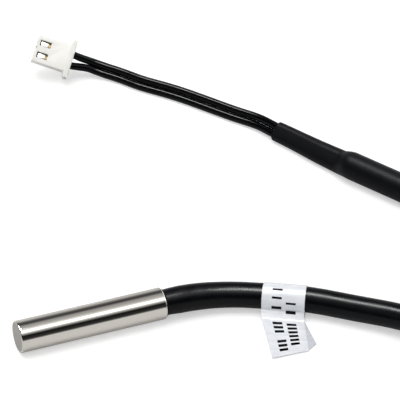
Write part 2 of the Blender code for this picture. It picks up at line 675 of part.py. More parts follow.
def sleeve_stations():
    """The sleeve's sections, mouth to cable end: place, half length of the flat and outer radius."""
    numbers = []
    for piece, count in enumerate(SLEEVE_PIECES):
        numbers.extend(piece + k / count for k in range(count))
    numbers.append(len(SLEEVE_PIECES))
    plan = smooth_curve(SLEEVE_ROUTE[:-1], [n for n in numbers if n <= len(SLEEVE_PIECES) - 1])
    first, last = np.array(SLEEVE_ROUTE[-2]), np.array(SLEEVE_ROUTE[-1])
    straight = [first + (last - first) * k / SLEEVE_PIECES[-1] for k in range(1, SLEEVE_PIECES[-1] + 1)]
    stations = []
    step_from = len(SLEEVE_OVER_PAIR) - 1
    for number, (x, y) in zip(numbers, list(plan) + straight):
        before = min(int(number), step_from)
        after = min(before + 1, step_from)
        share = min(number, step_from) - before
        radius = CORE_RADIUS + (SLEEVE_OVER_PAIR[before] * (1 - share) + SLEEVE_OVER_PAIR[after] * share) * MM
        step = ease(number - step_from)
        radius += (SLEEVE_JACKET_RADIUS - radius) * step
        flat = PAIR_OFFSET * (1 - step)
        height = flat * math.sin(PAIR_ROLL) + radius + FLOOR_GAP
        stations.append((Vector((x * MM, y * MM, height)), flat, radius))
    return stations


def make_sleeve():
    """The heat-shrink sleeve: an oval tube over the two wires, stepping up to a round one over the jacket."""
    stations = sleeve_stations()
    centres = [station[0] for station in stations]
    shape = bmesh.new()
    skins = []
    for inward in (0.0, SLEEVE_WALL):
        rings = []
        for (centre, flat, radius), tangent in zip(stations, tangents(centres)):
            wide = across(tangent)
            thick = tangent.cross(wide)
            ring = []
            for k in range(SLEEVE_SIDES):
                angle = 2 * math.pi * (k + 0.5) / SLEEVE_SIDES
                x = math.copysign(flat, math.cos(angle)) + (radius - inward) * math.cos(angle)
                y = (radius - inward) * math.sin(angle)
                ring.append(shape.verts.new(centre + wide * x + thick * y))
            rings.append(ring)
        skins.append(rings)
    outer, inner = skins
    for k in range(SLEEVE_SIDES):
        j = (k + 1) % SLEEVE_SIDES
        for a, b in zip(outer, outer[1:]):
            shape.faces.new((a[k], a[j], b[j], b[k]))
        for a, b in zip(inner, inner[1:]):
            shape.faces.new((a[j], a[k], b[k], b[j]))
        shape.faces.new((outer[0][j], outer[0][k], inner[0][k], inner[0][j]))
        shape.faces.new((outer[-1][k], outer[-1][j], inner[-1][j], inner[-1][k]))
    bmesh.ops.recalc_face_normals(shape, faces=shape.faces)
    mesh = bpy.data.meshes.new("heat_shrink_sleeve")
    shape.to_mesh(mesh)
    shape.free()
    mesh.shade_smooth()
    mesh.set_sharp_from_angle(angle=math.radians(40))
    add_part("heat_shrink_sleeve", mesh, HEAT_SHRINK)


CONNECTOR = (Matrix.Translation(CONNECTOR_FRONT) @ Matrix.Rotation(CONNECTOR_HEADING, 4, "Z")
             @ Matrix.Rotation(CONNECTOR_DIP, 4, "Y") @ Matrix.Rotation(CONNECTOR_ROLL, 4, "X"))


def make_wires():
    """The two wires from the contacts to the jacket's end, side by side from just behind the connector."""
    places = (INSULATION_BARREL_START - SEAT_GAP, HOUSING_LENGTH + WIRE_CLEAR)
    inside = [CONNECTOR @ Vector((x, 0.0, 0.0)) for x in places]
    outside = lie(PAIR_ROUTE, CORE_RADIUS + PAIR_RISE)
    covered = [centre for centre, flat, radius in sleeve_stations() if flat > 0.0]
    jacket_end = lie(CONNECTOR_END_ROUTE, CABLE_RADIUS)[-1]
    last = jacket_end - (jacket_end - covered[-1]).normalized() * SEAT_GAP
    together = outside + covered + [last]
    directions = tangents([inside[-1]] + together)[1:]
    for number, side in ((1, 1.0), (2, -1.0)):
        points = [CONNECTOR @ Vector((x, side * PITCH / 2, 0.0)) for x in places]
        for centre, tangent in zip(together, directions):
            points.append(centre + across(tangent) * side * PAIR_OFFSET)
        add_part(f"lead_wire_{number}", poly_curve(f"lead_wire_{number}", points, CORE_RADIUS, 2), BLACK_PVC)


def make_housing():
    """The connector housing: a block with two ears, two contact cavities, two windows and a notch."""
    half_width, half_thick = HOUSING_WIDTH / 2, HOUSING_THICKNESS / 2
    body = add_part("connector_housing", box_mesh("connector_housing", (0, -half_width, -half_thick),
                                                  (HOUSING_LENGTH, half_width, half_thick)), NYLON, CONNECTOR)
    bevel = body.modifiers.new("edges", "BEVEL")
    bevel.width = HOUSING_EDGE
    bevel.segments = 2
    top = half_width + EAR_REACH
    sunk = half_width - EAR_SINK
    rear = HOUSING_LENGTH - EAR_REAR
    ear = [(EAR_START, half_width - HOUSING_EDGE), (EAR_START + EAR_RAMP, top), (rear, top),
           (HOUSING_LENGTH - EAR_REAR / 3, half_width + EAR_REACH / 3), (HOUSING_LENGTH - HOUSING_EDGE, sunk),
           (EAR_START, sunk)]
    for number, side in ((1, 1.0), (2, -1.0)):
        outline = [(x, side * y) for x, y in ear]
        mesh = plain_mesh(f"ear_{number}", outline_curve(f"ear_{number}", [outline], EAR_THICKNESS))
        combine(body, "UNION", add_cutter(f"ear_{number}", mesh, CONNECTOR))
    for number, side in ((1, 1.0), (2, -1.0)):
        y = side * PITCH / 2
        beyond = HOUSING_LENGTH + TOUCH_GAP
        cavity = box_mesh(f"cavity_{number}", (FRONT_WALL, y - CAVITY_WIDTH / 2, -CAVITY_HEIGHT / 2),
                          (beyond, y + CAVITY_WIDTH / 2, CAVITY_HEIGHT / 2))
        combine(body, "DIFFERENCE", add_cutter(f"cavity_{number}", cavity, CONNECTOR))
        pin = box_mesh(f"pin_hole_{number}", (-TOUCH_GAP, y - PIN_HOLE / 2, -PIN_HOLE / 2),
                       (FRONT_WALL + TOUCH_GAP, y + PIN_HOLE / 2, PIN_HOLE / 2))
        combine(body, "DIFFERENCE", add_cutter(f"pin_hole_{number}", pin, CONNECTOR))
        window = box_mesh(f"window_{number}", (WINDOW_START, y - WINDOW_WIDTH / 2, 0.0),
                          (WINDOW_START + WINDOW_LENGTH, y + WINDOW_WIDTH / 2, half_thick + TOUCH_GAP))
        combine(body, "DIFFERENCE", add_cutter(f"window_{number}", window, CONNECTOR))
    notch = box_mesh("notch", (-TOUCH_GAP, -NOTCH_WIDTH / 2, half_thick - 3 * NOTCH_DEPTH),
                     (NOTCH_DEPTH, NOTCH_WIDTH / 2, half_thick + TOUCH_GAP))
    combine(body, "DIFFERENCE", add_cutter("notch", notch, CONNECTOR))


def contact_mesh():
    """A crimp contact: a hollow box with a raised lance, a floor strip and two barrels that hold the wire."""
    half = CONTACT_BOX_WIDTH / 2
    start = WINDOW_START + CONTACT_GAP / 2
    box_end = start + CONTACT_BOX_LENGTH
    wall = CONTACT_WALL
    box = box_mesh("contact", (start, -half, CONTACT_BOX_LOW), (box_end, half, CONTACT_BOX_TOP))
    contact = add_cutter("contact", box)
    bore = box_mesh("contact_bore", (start - wall, wall - half, CONTACT_BOX_LOW + wall),
                    (box_end + wall, half - wall, CONTACT_BOX_TOP - wall))
    combine(contact, "DIFFERENCE", add_cutter("contact_bore", bore))
    lance_half = WINDOW_WIDTH / 2 - CONTACT_GAP
    lance = box_mesh("lance", (WINDOW_START + CONTACT_GAP, -lance_half, CONTACT_BOX_TOP - wall / 2),
                     (WINDOW_START + WINDOW_LENGTH - CONTACT_GAP, lance_half, CONTACT_BOX_TOP + LANCE_RISE))
    combine(contact, "UNION", add_cutter("lance", lance))
    strip_low = -INSULATION_BARREL_BORE - BARREL_WALL
    strip = box_mesh("floor_strip", (box_end - wall, -STRIP_WIDTH / 2, strip_low),
                     (INSULATION_BARREL_START + BARREL_LENGTH, STRIP_WIDTH / 2, CONTACT_BOX_LOW + wall / 2))
    combine(contact, "UNION", add_cutter("floor_strip", strip))
    post_top = -CONDUCTOR_BARREL_BORE - BARREL_WALL / 2
    post = box_mesh("barrel_post", (CONDUCTOR_BARREL_START, -POST_WIDTH / 2, strip_low + wall / 4),
                    (CONDUCTOR_BARREL_START + BARREL_LENGTH, POST_WIDTH / 2, post_top))
    combine(contact, "UNION", add_cutter("barrel_post", post))
    barrels = (("conductor_barrel", CONDUCTOR_BARREL_START, CONDUCTOR_BARREL_BORE),
               ("insulation_barrel", INSULATION_BARREL_START, INSULATION_BARREL_BORE))
    for name, place, bore_radius in barrels:
        profile = ring_profile(bore_radius + BARREL_WALL, bore_radius, BARREL_LENGTH)
        ring = turn(name, profile, BRASS, along_x(place, 0.0, 0.0), 24, closed=True)
        matrix = ring.matrix_world.copy()
        combine(contact, "UNION", add_cutter(name, plain_mesh(name, ring), matrix))
        room = rod_mesh(f"{name}_room", bore_radius, BARREL_LENGTH + 2 * wall)
        combine(contact, "DIFFERENCE", add_cutter(f"{name}_room", room, along_x(place - wall, 0.0, 0.0)))
    return plain_mesh("crimp_contact", contact)


def make_contacts():
    """Both contacts, with the bared conductor ends in their barrels."""
    mesh = contact_mesh()
    length = INSULATION_BARREL_START - 2 * SEAT_GAP - CONDUCTOR_BARREL_START
    for number, side in ((1, 1.0), (2, -1.0)):
        place = CONNECTOR @ Matrix.Translation((0.0, side * PITCH / 2, 0.0))
        add_part(f"crimp_contact_{number}", mesh, BRASS, place)
        rod = rod_mesh(f"lead_conductor_{number}", CONDUCTOR_RADIUS, length, 12)
        axis = along_x(CONDUCTOR_BARREL_START, 0.0, 0.0)
        add_part(f"lead_conductor_{number}", rod, COPPER, place @ axis)


make_capsule()
make_sensing_end()
make_potting()
make_mouth_seal()
make_cable()
make_ties()
make_label()
make_sleeve()
make_wires()
make_housing()
make_contacts()
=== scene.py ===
# %% [markdown]
# # A temperature probe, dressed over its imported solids
#
# The real thing is a thermistor potted into a polished steel capsule. A black cable of about a metre leaves
# the capsule, carries a white film label, and ends in two thin wires and a white two-way crimp connector.
#
# The CAD model already says where everything is. This file adds what CAD leaves out: the cable as one long
# bent cord, round edges, thin film, and a procedural material for every surface. Each step below says what
# the piece is in real life, how it could be made in Blender, and why one way was picked.

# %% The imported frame, and the units
import math

import bmesh
import bpy
import numpy as np
from mathutils import Matrix, Vector


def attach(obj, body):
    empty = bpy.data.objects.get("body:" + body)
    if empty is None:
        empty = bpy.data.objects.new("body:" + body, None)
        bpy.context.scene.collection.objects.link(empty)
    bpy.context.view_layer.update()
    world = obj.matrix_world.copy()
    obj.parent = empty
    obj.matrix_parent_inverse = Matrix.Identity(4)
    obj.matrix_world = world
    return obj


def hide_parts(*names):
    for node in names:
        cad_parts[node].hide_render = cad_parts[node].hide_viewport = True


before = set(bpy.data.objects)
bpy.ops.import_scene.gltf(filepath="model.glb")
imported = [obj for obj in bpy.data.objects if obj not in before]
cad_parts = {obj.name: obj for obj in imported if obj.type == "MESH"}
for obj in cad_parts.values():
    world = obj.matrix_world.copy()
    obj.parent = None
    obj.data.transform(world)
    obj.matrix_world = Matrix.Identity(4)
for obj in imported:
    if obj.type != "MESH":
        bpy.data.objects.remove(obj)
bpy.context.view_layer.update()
MM = 0.001
SCENE = bpy.context.scene
SCENE.view_settings.view_transform = "Standard"

# %% [markdown]
# ## The camera
#
# The photo was taken with a long lens from about 34 degrees above the table: parallel edges hardly converge.
# The place of the camera was worked out from the capsule's two ends and from the spacing of the connector's
# windows. A long lens is a large focal length with the camera far away, here 277 mm from 600 mm off.

# %% The camera
CAMERA_PLACE = Vector((-150.75, -428.45, 335.52)) * MM
CAMERA_AIM = Vector((34.9, 33.03, 0.0)) * MM


def new_object(name, data):
    """An object in the scene with this mesh, curve, lamp or camera."""
    made = bpy.data.objects.new(name, data)
    SCENE.collection.objects.link(made)
    return made


def add_camera():
    """A camera that stands where the photographer stood."""
    data = bpy.data.cameras.new("photo_camera")
    data.lens = 276.86
    data.sensor_width = 36.0
    data.clip_start = 0.02
    data.clip_end = 30.0
    camera = new_object("photo_camera", data)
    camera.location = CAMERA_PLACE
    camera.rotation_euler = (CAMERA_AIM - CAMERA_PLACE).to_track_quat("-Z", "Y").to_euler()
    SCENE.camera = camera
    return camera


print("camera distance in mm:", round((CAMERA_AIM - CAMERA_PLACE).length / MM, 1), add_camera().name)

# %% [markdown]
# ## Small helpers: colours and nodes
#
# Colours are written as they would be read off a screen, in sRGB hex, and one function turns them to the
# linear values that Blender calculates with. One more function adds any node, sets it and links it, so that
# a material or a geometry tree reads as a list of steps. Most finishes of this object are two close tones, a
# roughness and a fine relief, so one function makes those.


# %% Colours and nodes
def linear(hex_colour):
    """An sRGB hex colour as linear red, green, blue and alpha."""
    parts = [int(hex_colour[i:i + 2], 16) / 255 for i in (1, 3, 5)]
    return tuple(c / 12.92 if c <= 0.04045 else ((c + 0.055) / 1.055) ** 2.4 for c in parts) + (1.0,)


def add(tree, kind, inputs=(), **settings):
    """Add a node with its settings, and give each input a value or a link from another node's output."""
    node = tree.nodes.new(kind)
    for name, value in settings.items():
        setattr(node, name, value)
    for key, value in dict(inputs).items():
        if isinstance(value, bpy.types.NodeSocket):
            tree.links.new(value, node.inputs[key])
        else:
            node.inputs[key].default_value = value
    return node


def calc(tree, operation, *values):
    """The result of a maths node on these numbers or outputs."""
    return add(tree, "ShaderNodeMath", dict(enumerate(values)), operation=operation).outputs[0]


def empty_tree(owner):
    """The node tree of a material or a world, emptied."""
    owner.use_nodes = True
    owner.node_tree.nodes.clear()
    return owner.node_tree


def new_material(name):
    """A material with an empty tree apart from its Principled shader."""
    material = bpy.data.materials.new(name)
    tree = empty_tree(material)
    shader = add(tree, "ShaderNodeBsdfPrincipled")
    add(tree, "ShaderNodeOutputMaterial", {"Surface": shader.outputs["BSDF"]})
    return material, tree, shader


def grain(tree, scale_mm, detail=2.0, stretch=(1.0, 1.0, 1.0)):
    """Noise in Object coordinates whose features are about this many millimetres across."""
    place = add(tree, "ShaderNodeTexCoord").outputs["Object"]
    turned = add(tree, "ShaderNodeMapping", {"Vector": place, "Scale": stretch})
    noise = add(tree, "ShaderNodeTexNoise", {"Vector": turned.outputs["Vector"], "Scale": 1 / (scale_mm * MM),
                                             "Detail": detail})
    return noise.outputs["Fac"]


def spread(tree, value, low, high, start=0.3, end=0.7):
    """Turn a noise value to a range of numbers."""
    node = add(tree, "ShaderNodeMapRange", {"Value": value, "From Min": start, "From Max": end,
                                            "To Min": low, "To Max": high})
    return node.outputs["Result"]


def two_tone(tree, value, first, second):
    """Blend two colours by a value. Each is a hex colour or comes from a node."""
    first, second = (linear(tone) if isinstance(tone, str) else tone for tone in (first, second))
    return add(tree, "ShaderNodeMix", {0: value, 6: first, 7: second}, data_type="RGBA").outputs[2]


def bump(tree, value, height_mm, normal=None):
    """A normal from a height in millimetres, laid over another normal if there is one."""
    node = add(tree, "ShaderNodeBump", {"Height": value, "Distance": height_mm * MM})
    if normal is not None:
        tree.links.new(normal, node.inputs["Normal"])
    return node.outputs["Normal"]


def finish(name, tones, roughness, pattern, relief=None, specular=0.5, metallic=0.0):
    """A finish whose two tones and roughness follow one noise, with a relief that follows another.

    A pattern is a size in millimetres, then detail and stretch if need be, and a relief is a height in
    millimetres and a pattern.
    """
    material, tree, shader = new_material(name)
    value = grain(tree, *pattern)
    tree.links.new(two_tone(tree, value, *tones), shader.inputs["Base Color"])
    tree.links.new(spread(tree, value, *roughness), shader.inputs["Roughness"])
    if relief:
        tree.links.new(bump(tree, grain(tree, *relief[1:]), relief[0]), shader.inputs["Normal"])
    shader.inputs["Specular IOR Level"].default_value = specular
    shader.inputs["Metallic"].default_value = metallic
    return material


print("white as linear:", [round(value, 3) for value in linear("#FFFFFF")])

# %% [markdown]
# ## The studio: a light tent
#
# Product photos on white are taken in a light tent. The table and the sides are white, a softbox hangs
# above, and the gaps between them are dark. Matte things only feel the sum of it, but polished steel is a
# mirror and shows every band. The world shader keeps these two jobs apart: it lights matte surfaces evenly,
# and only for glossy rays does it draw the tent's bands, as a ramp over the angle around the capsule's axis.
# The white wall on the right lights the capsule's lip.

# %% The world
# Degrees round the capsule's axis, up from the camera's side and over to the back, and the level there.
TENT = [
    (0, 0.42), (5, 0.14), (10, 0.04), (28, 0.01), (35, 0.02), (41, 0.22), (47, 0.55), (54, 1.0),
    (58, 2.3), (70, 2.3), (76, 1.0), (80, 0.85), (86, 0.6), (94, 0.50), (107, 0.42), (116, 0.14),
    (124, 0.07), (133, 0.09), (141, 0.15), (152, 0.42), (162, 0.66), (180, 0.75),
]
TENT_BRIGHTEST = 2.3
DIFFUSE_LEVEL = 0.55
LEFT_LEVEL, LEFT_FADE = 0.2, (-0.5, -0.2)
RIGHT_WALL_LEVEL, RIGHT_FADE = 1.3, (0.5, 0.7)
WHITE = linear("#FFFFFF")


def eye_and_mirror(tree):
    """Whether a ray is seen straight or through glass, and whether it is seen in a mirror."""
    ray = add(tree, "ShaderNodeLightPath").outputs
    return calc(tree, "MAXIMUM", ray["Is Camera Ray"], ray["Is Transmission Ray"]), ray["Is Glossy Ray"]


def fade(tree, value, outside, inside):
    """A smooth step from zero to one."""
    node = add(tree, "ShaderNodeMapRange", {"Value": value, "From Min": outside, "From Max": inside},
               interpolation_type="SMOOTHSTEP")
    return node.outputs["Result"]


def add_world():
    """White for the camera, even light for matte surfaces and the tent's bands for glossy ones."""
    world = bpy.data.worlds.new("light_tent")
    SCENE.world = world
    tree = empty_tree(world)

    def light(colour, strength):
        return add(tree, "ShaderNodeBackground", {"Color": colour, "Strength": strength}).outputs[0]

    looks_to = add(tree, "ShaderNodeTexCoord").outputs["Generated"]
    direction = add(tree, "ShaderNodeSeparateXYZ", {0: looks_to}).outputs
    angle = calc(tree, "ARCTAN2", direction["Z"], calc(tree, "MULTIPLY", direction["Y"], -1.0))
    ramp = add(tree, "ShaderNodeValToRGB", {"Fac": calc(tree, "MULTIPLY", angle, 1 / math.pi)})
    stops = ramp.color_ramp.elements
    for number, (degrees, level) in enumerate(TENT):
        stop = stops[number] if number < 2 else stops.new(degrees / 180)
        stop.position = degrees / 180
        stop.color = (*[level / TENT_BRIGHTEST] * 3, 1.0)
    strength = calc(tree, "MULTIPLY_ADD", fade(tree, direction["X"], *LEFT_FADE),
                    (1 - LEFT_LEVEL) * TENT_BRIGHTEST, LEFT_LEVEL * TENT_BRIGHTEST)
    wall = calc(tree, "MULTIPLY", fade(tree, direction["X"], *RIGHT_FADE), RIGHT_WALL_LEVEL)
    tent = light(ramp.outputs["Color"], strength)
    bands = add(tree, "ShaderNodeAddShader", {0: tent, 1: light(WHITE, wall)})
    eye, mirror = eye_and_mirror(tree)
    lit = add(tree, "ShaderNodeMixShader", {0: mirror, 1: light(WHITE, DIFFUSE_LEVEL), 2: bands.outputs[0]})
    seen = add(tree, "ShaderNodeMixShader", {0: eye, 1: lit.outputs[0], 2: light(WHITE, 1.0)})
    add(tree, "ShaderNodeOutputWorld", {"Surface": seen.outputs[0]})
    return len(stops)


print("bands in the tent:", add_world())

# %% [markdown]
# ## Floor and lamps
#
# Two softboxes light what is matte. Two tubes far overhead give no light to speak of, but shiny black
# plastic shows them as long thin highlights. Soft lamps are cleaner than bright spots in the world, because
# the renderer aims at lamps, so they leave no specks. Each lamp is for one job: the softboxes are hidden
# from mirrors, and the tubes from matte surfaces.

# %% The floor and the lamps
SOFTBOXES = {"overhead_softbox": ((-0.15, 0.1, 1.05), 0.8, 6.5), "front_fill": ((-0.5, -0.9, 0.8), 1.2, 1.6)}
TUBES = {"short_tube": ((0.04, -0.13), -13, 0.27, 0.16), "long_tube": ((-0.16, 0.17), 111, 0.68, 0.2)}
TUBE_BRIGHTNESS, TUBE_DISTANCE = 46.0, 3.0
FLOOR_SIDE = 6.0
GLOW_FOR_EYE, GLOW_FOR_MIRRORS = 0.46, 0.09


def add_floor():
    """A white table top. A little glow for the eye and for mirrors lifts it to paper white, shadows stay."""
    material = bpy.data.materials.new("white_table")
    tree = empty_tree(material)
    eye, mirror = eye_and_mirror(tree)
    strength = calc(tree, "MULTIPLY_ADD", eye, GLOW_FOR_EYE, calc(tree, "MULTIPLY", mirror, GLOW_FOR_MIRRORS))
    matte = add(tree, "ShaderNodeBsdfDiffuse", {"Color": linear("#D4D4D4")})
    glow = add(tree, "ShaderNodeEmission", {"Color": WHITE, "Strength": strength})
    both = add(tree, "ShaderNodeAddShader", {0: matte.outputs[0], 1: glow.outputs[0]})
    add(tree, "ShaderNodeOutputMaterial", {"Surface": both.outputs[0]})
    mesh = bpy.data.meshes.new("table")
    half = FLOOR_SIDE / 2
    corners = [(-half, -half, 0), (half, -half, 0), (half, half, 0), (-half, half, 0)]
    mesh.from_pydata(corners, [], [(0, 1, 2, 3)])
    mesh.materials.append(material)
    floor = new_object("table", mesh)


def add_lamp(name, sides, watts, place):
    """A flat lamp with these two sides."""
    data = bpy.data.lights.new(name, "AREA")
    data.shape = "RECTANGLE"
    data.size, data.size_y = sides
    data.energy = watts
    lamp = new_object(name, data)
    lamp.location = place
    return lamp


def add_softbox(name, place, side, watts):
    """A large soft lamp that lights matte surfaces."""
    lamp = add_lamp(name, (side, side), watts, place)
    lamp.rotation_euler = (CAMERA_AIM - lamp.location).to_track_quat("-Z", "Y").to_euler()
    lamp.visible_glossy = False
    return lamp


def add_tube(name, middle, turn, length, width):
    """A tube lamp in this direction in plan, turned so many degrees, with its size as seen from one metre."""
    sides = (length * TUBE_DISTANCE, width * TUBE_DISTANCE)
    up = Vector((*middle, math.sqrt(1 - middle[0] ** 2 - middle[1] ** 2)))
    watts = TUBE_BRIGHTNESS * math.pi * sides[0] * sides[1]
    lamp = add_lamp(name, sides, watts, CAMERA_AIM + up * TUBE_DISTANCE)
    along = Vector((math.cos(math.radians(turn)), math.sin(math.radians(turn)), 0.0))
    side = up.cross(along).normalized()
    lamp.rotation_euler = Matrix((side.cross(up), side, up)).transposed().to_euler()
    lamp.visible_diffuse = False
    return lamp


add_floor()
for name, softbox in SOFTBOXES.items():
    print(name, "distance in m:", round((CAMERA_AIM - add_softbox(name, *softbox).location).length, 2))
for name, tube in TUBES.items():
    print(name, "place in m:", [round(value, 2) for value in add_tube(name, *tube).location])

# %% [markdown]
# ## Smooth routes
#
# A cable has stiffness, so its centreline is a curve whose bend changes smoothly. A natural cubic does just
# that: it passes through a few chosen points and bends as little as possible between them. The same points
# shape the plain tubes of the CAD model, so the dressed cable lies in the same place.


# %% A natural cubic
def distances(points):
    """How far along a line each of its points lies."""
    steps = np.linalg.norm(np.diff(np.asarray(points, float), axis=0), axis=1)
    return np.concatenate([[0.0], np.cumsum(steps)])


def natural_cubic(points, numbers):
    """Read a natural cubic through the points at these fractions of a point number."""
    points = np.asarray(points, float)
    count = len(points)
    knots = distances(points)
    gaps = np.diff(knots)
    system = np.eye(count)
    right = np.zeros_like(points)
    for i in range(1, count - 1):
        system[i, i - 1:i + 2] = gaps[i - 1], 2 * (gaps[i - 1] + gaps[i]), gaps[i]
        right[i] = 6 * ((points[i + 1] - points[i]) / gaps[i] - (points[i] - points[i - 1]) / gaps[i - 1])
    bend = np.linalg.solve(system, right)
    found = []
    for number in numbers:
        i = min(int(number), count - 2)
        gap, b = gaps[i], (number - i) * gaps[i]
        a = gap - b
        found.append((bend[i] * a ** 3 + bend[i + 1] * b ** 3) / (6 * gap)
                     + (points[i] / gap - bend[i] * gap / 6) * a
                     + (points[i + 1] / gap - bend[i + 1] * gap / 6) * b)
    return np.array(found)


def even_points(points, count):
    """Points spread evenly along a dense line."""
    points = np.asarray(points, float)
    along = distances(points)
    wanted = np.linspace(0.0, along[-1], count)
    return np.stack([np.interp(wanted, along, points[:, axis]) for axis in range(3)], axis=1)


def ease(x):
    """Smooth step from 0 to 1."""
    x = min(max(x, 0.0), 1.0)
    return x * x * (3 - 2 * x)


def line_length(points):
    """Length of a line of points."""
    return float(distances(points)[-1])


# %% [markdown]
# ## The route of the cable
#
# The photo shows both ends of the cable and cuts off its middle. Such probes have a metre of cable, and the
# spare length lies outside the picture in a neat coil of nearly six turns, three side by side and two high,
# as it comes from the packet. Walking round the coil, the cable fills the bottom layer from the outside in,
# climbs at the inside, and fills the top layer from the inside out. It changes its lane only in one sector,
# so the turns never cross.

# %% Sizes of the cable and its coil, in millimetres
CABLE_RADIUS = 2.425
CORE_RADIUS = CABLE_RADIUS * 0.309
COIL_X, COIL_Y = 88.3, -24.6
COIL_MIDDLE, COIL_STEP, COIL_FLOOR = 24.675, 4.9, 1.0
OUTER, MIDDLE, INNER = COIL_MIDDLE + COIL_STEP, COIL_MIDDLE, COIL_MIDDLE - COIL_STEP
LOW = COIL_FLOOR + CABLE_RADIUS
HIGH = LOW + COIL_STEP
LANES = [(OUTER, LOW), (MIDDLE, LOW), (INNER, LOW), (INNER, HIGH), (MIDDLE, HIGH), (OUTER, HIGH)]
LANE_CHANGES = [(63.7, 55.0), (63.7, 55.0), (30.0, 60.0), (0.0, 55.0), (0.0, 55.0)]
COIL_ENTRY, COIL_EXIT = 201.9, 2243.2
CHANGE_FROM = 443.2
CORNERS_PER_TURN, POINTS_PER_TURN, PROBE_RUN_POINTS, CONNECTOR_RUN_POINTS = 24, 16, 20, 14
DENSE = 6

PROBE_RUN = [
    (6.3, 0.0, 3.0), (16.2, 0.0, 3.0), (21.4, -0.4, 2.855), (25.1, -1.25, 2.755), (28.6, -2.55, 2.715),
    (31.6, -4.0, 2.685), (40.1, -8.95, 2.685), (45.8, -13.7, 2.715), (48.8, -16.4, 2.845),
    (54.6, -22.6, 3.245), (57.65, -27.93, 3.38),
]
CONNECTOR_RUN = [
    (88.7, 5.2, 8.3), (84.2, 6.15, 8.1), (79.9, 8.05, 6.595), (76.2, 11.4, 4.395), (72.9, 15.6, 2.775),
    (69.4, 22.1, 2.775), (65.9, 28.6, 2.775),
]


# %% The cable's centreline
def coil_point(degrees):
    """A point of the coil at this many degrees round from the first turn's zero."""
    lane = 0
    share = 0.0
    for number, (start, width) in enumerate(LANE_CHANGES):
        into = degrees - CHANGE_FROM - 360.0 * number
        if into > start + width:
            lane = number + 1
        elif into > start:
            lane, share = number, ease((into - start) / width)
    here, there = LANES[lane], LANES[min(lane + 1, len(LANES) - 1)]
    radius = here[0] + (there[0] - here[0]) * share
    height = here[1] + (there[1] - here[1]) * share
    angle = math.radians(degrees)
    return (COIL_X + radius * math.cos(angle), COIL_Y + radius * math.sin(angle), height)


def cable_points():
    """The cable's centreline: the run from the probe, the coil and the run to the connector."""
    turns = (COIL_EXIT - COIL_ENTRY) / 360.0
    angles = np.linspace(COIL_ENTRY, COIL_EXIT, round(turns * CORNERS_PER_TURN) + 1)
    coil = [coil_point(angle) for angle in angles]
    through = PROBE_RUN + coil + CONNECTOR_RUN
    dense = natural_cubic(through, np.linspace(0, len(through) - 1, DENSE * (len(through) - 1) + 1))
    first, last = DENSE * len(PROBE_RUN), DENSE * (len(PROBE_RUN) + len(coil) - 1)
    parts = [even_points(dense[:first + 1], PROBE_RUN_POINTS)[:-1],
             even_points(dense[first:last + 1], round(turns * POINTS_PER_TURN))[:-1],
             even_points(dense[last:], CONNECTOR_RUN_POINTS)]
    return np.concatenate(parts)


CABLE_LINE = cable_points()
print("cable points and length in mm:", len(CABLE_LINE), round(line_length(CABLE_LINE), 1))

# %% [markdown]
# ## The route of the two wires
#
# Past the end of the jacket the cable's two cores run on by themselves. In the sleeve they lie one on the
# other, rolled some 45 degrees out of the table, and so they stay until they part behind the connector. Each
# wire is offset by half the pair's spacing from one shared line, to either side.

# %% The connector's place, the sleeve's stations and the pair
CONNECTOR = (Matrix.Translation((20.75, 89.19, 6.2)) @ Matrix.Rotation(math.radians(-29.05), 4, "Z")
             @ Matrix.Rotation(math.radians(16.77), 4, "Y") @ Matrix.Rotation(math.radians(50.6), 4, "X"))
PAIR_ROLL = math.radians(46)
WIRE_RADIUS, WIRE_GAP = 0.79, 0.01
PAIR_OFFSET = WIRE_RADIUS + WIRE_GAP / 2
PAIR_LIFT = PAIR_OFFSET * math.sin(PAIR_ROLL) + WIRE_RADIUS
PITCH = 2.5
SEAT_GAP, FLOOR_GAP = 0.06, 0.03
SLEEVE_WALL = 0.26
SLEEVE_RUN = [(57.4, 47.7), (60.0, 42.0), (62.15, 36.95), (64.3, 32.3), (65.72, 28.94), (72.69, 16.0)]
SLEEVE_OVER_PAIR = (0.47, 0.57, 0.73, 0.87)
PAIR_RUN = [
    (31.0, 84.45, 1.17), (32.8, 83.3, 0.52), (34.45, 81.8, 0.17), (36.0, 80.0, 0.05), (38.8, 75.8, 0.04),
    (41.8, 72.2, 0.04), (44.8, 68.45, 0.04), (47.55, 64.5, 0.04), (50.3, 60.35, 0.04), (53.0, 56.35, 0.09),
    (55.65, 52.2, 0.27),
]


def sleeve_station(number):
    """Place, half length of the flat and outer radius of the sleeve, at a fraction of its route."""
    last = len(SLEEVE_RUN) - 2
    if number <= last:
        x, y = natural_cubic(SLEEVE_RUN[:-1], [number])[0]
    else:
        x, y = (np.interp(number, (last, last + 1), ends) for ends in zip(*SLEEVE_RUN[-2:]))
    over_pair = CORE_RADIUS + np.interp(number, range(len(SLEEVE_OVER_PAIR)), SLEEVE_OVER_PAIR)
    step = ease(number - len(SLEEVE_OVER_PAIR) + 1)
    radius = over_pair + (CABLE_RADIUS + SEAT_GAP + SLEEVE_WALL - over_pair) * step
    flat = PAIR_OFFSET * (1 - step)
    return Vector((x, y, flat * math.sin(PAIR_ROLL) + radius + FLOOR_GAP)), flat, radius


def tangents(points):
    """The direction at each point of a line."""
    pieces = [(b - a).normalized() for a, b in zip(points, points[1:])]
    return [pieces[0]] + [(a + b).normalized() for a, b in zip(pieces, pieces[1:])] + [pieces[-1]]


def across(tangent):
    """The direction from one wire of the pair to the other."""
    level = Vector((-tangent.y, tangent.x, 0.0)).normalized()
    return level * math.cos(PAIR_ROLL) + tangent.cross(level) * math.sin(PAIR_ROLL)


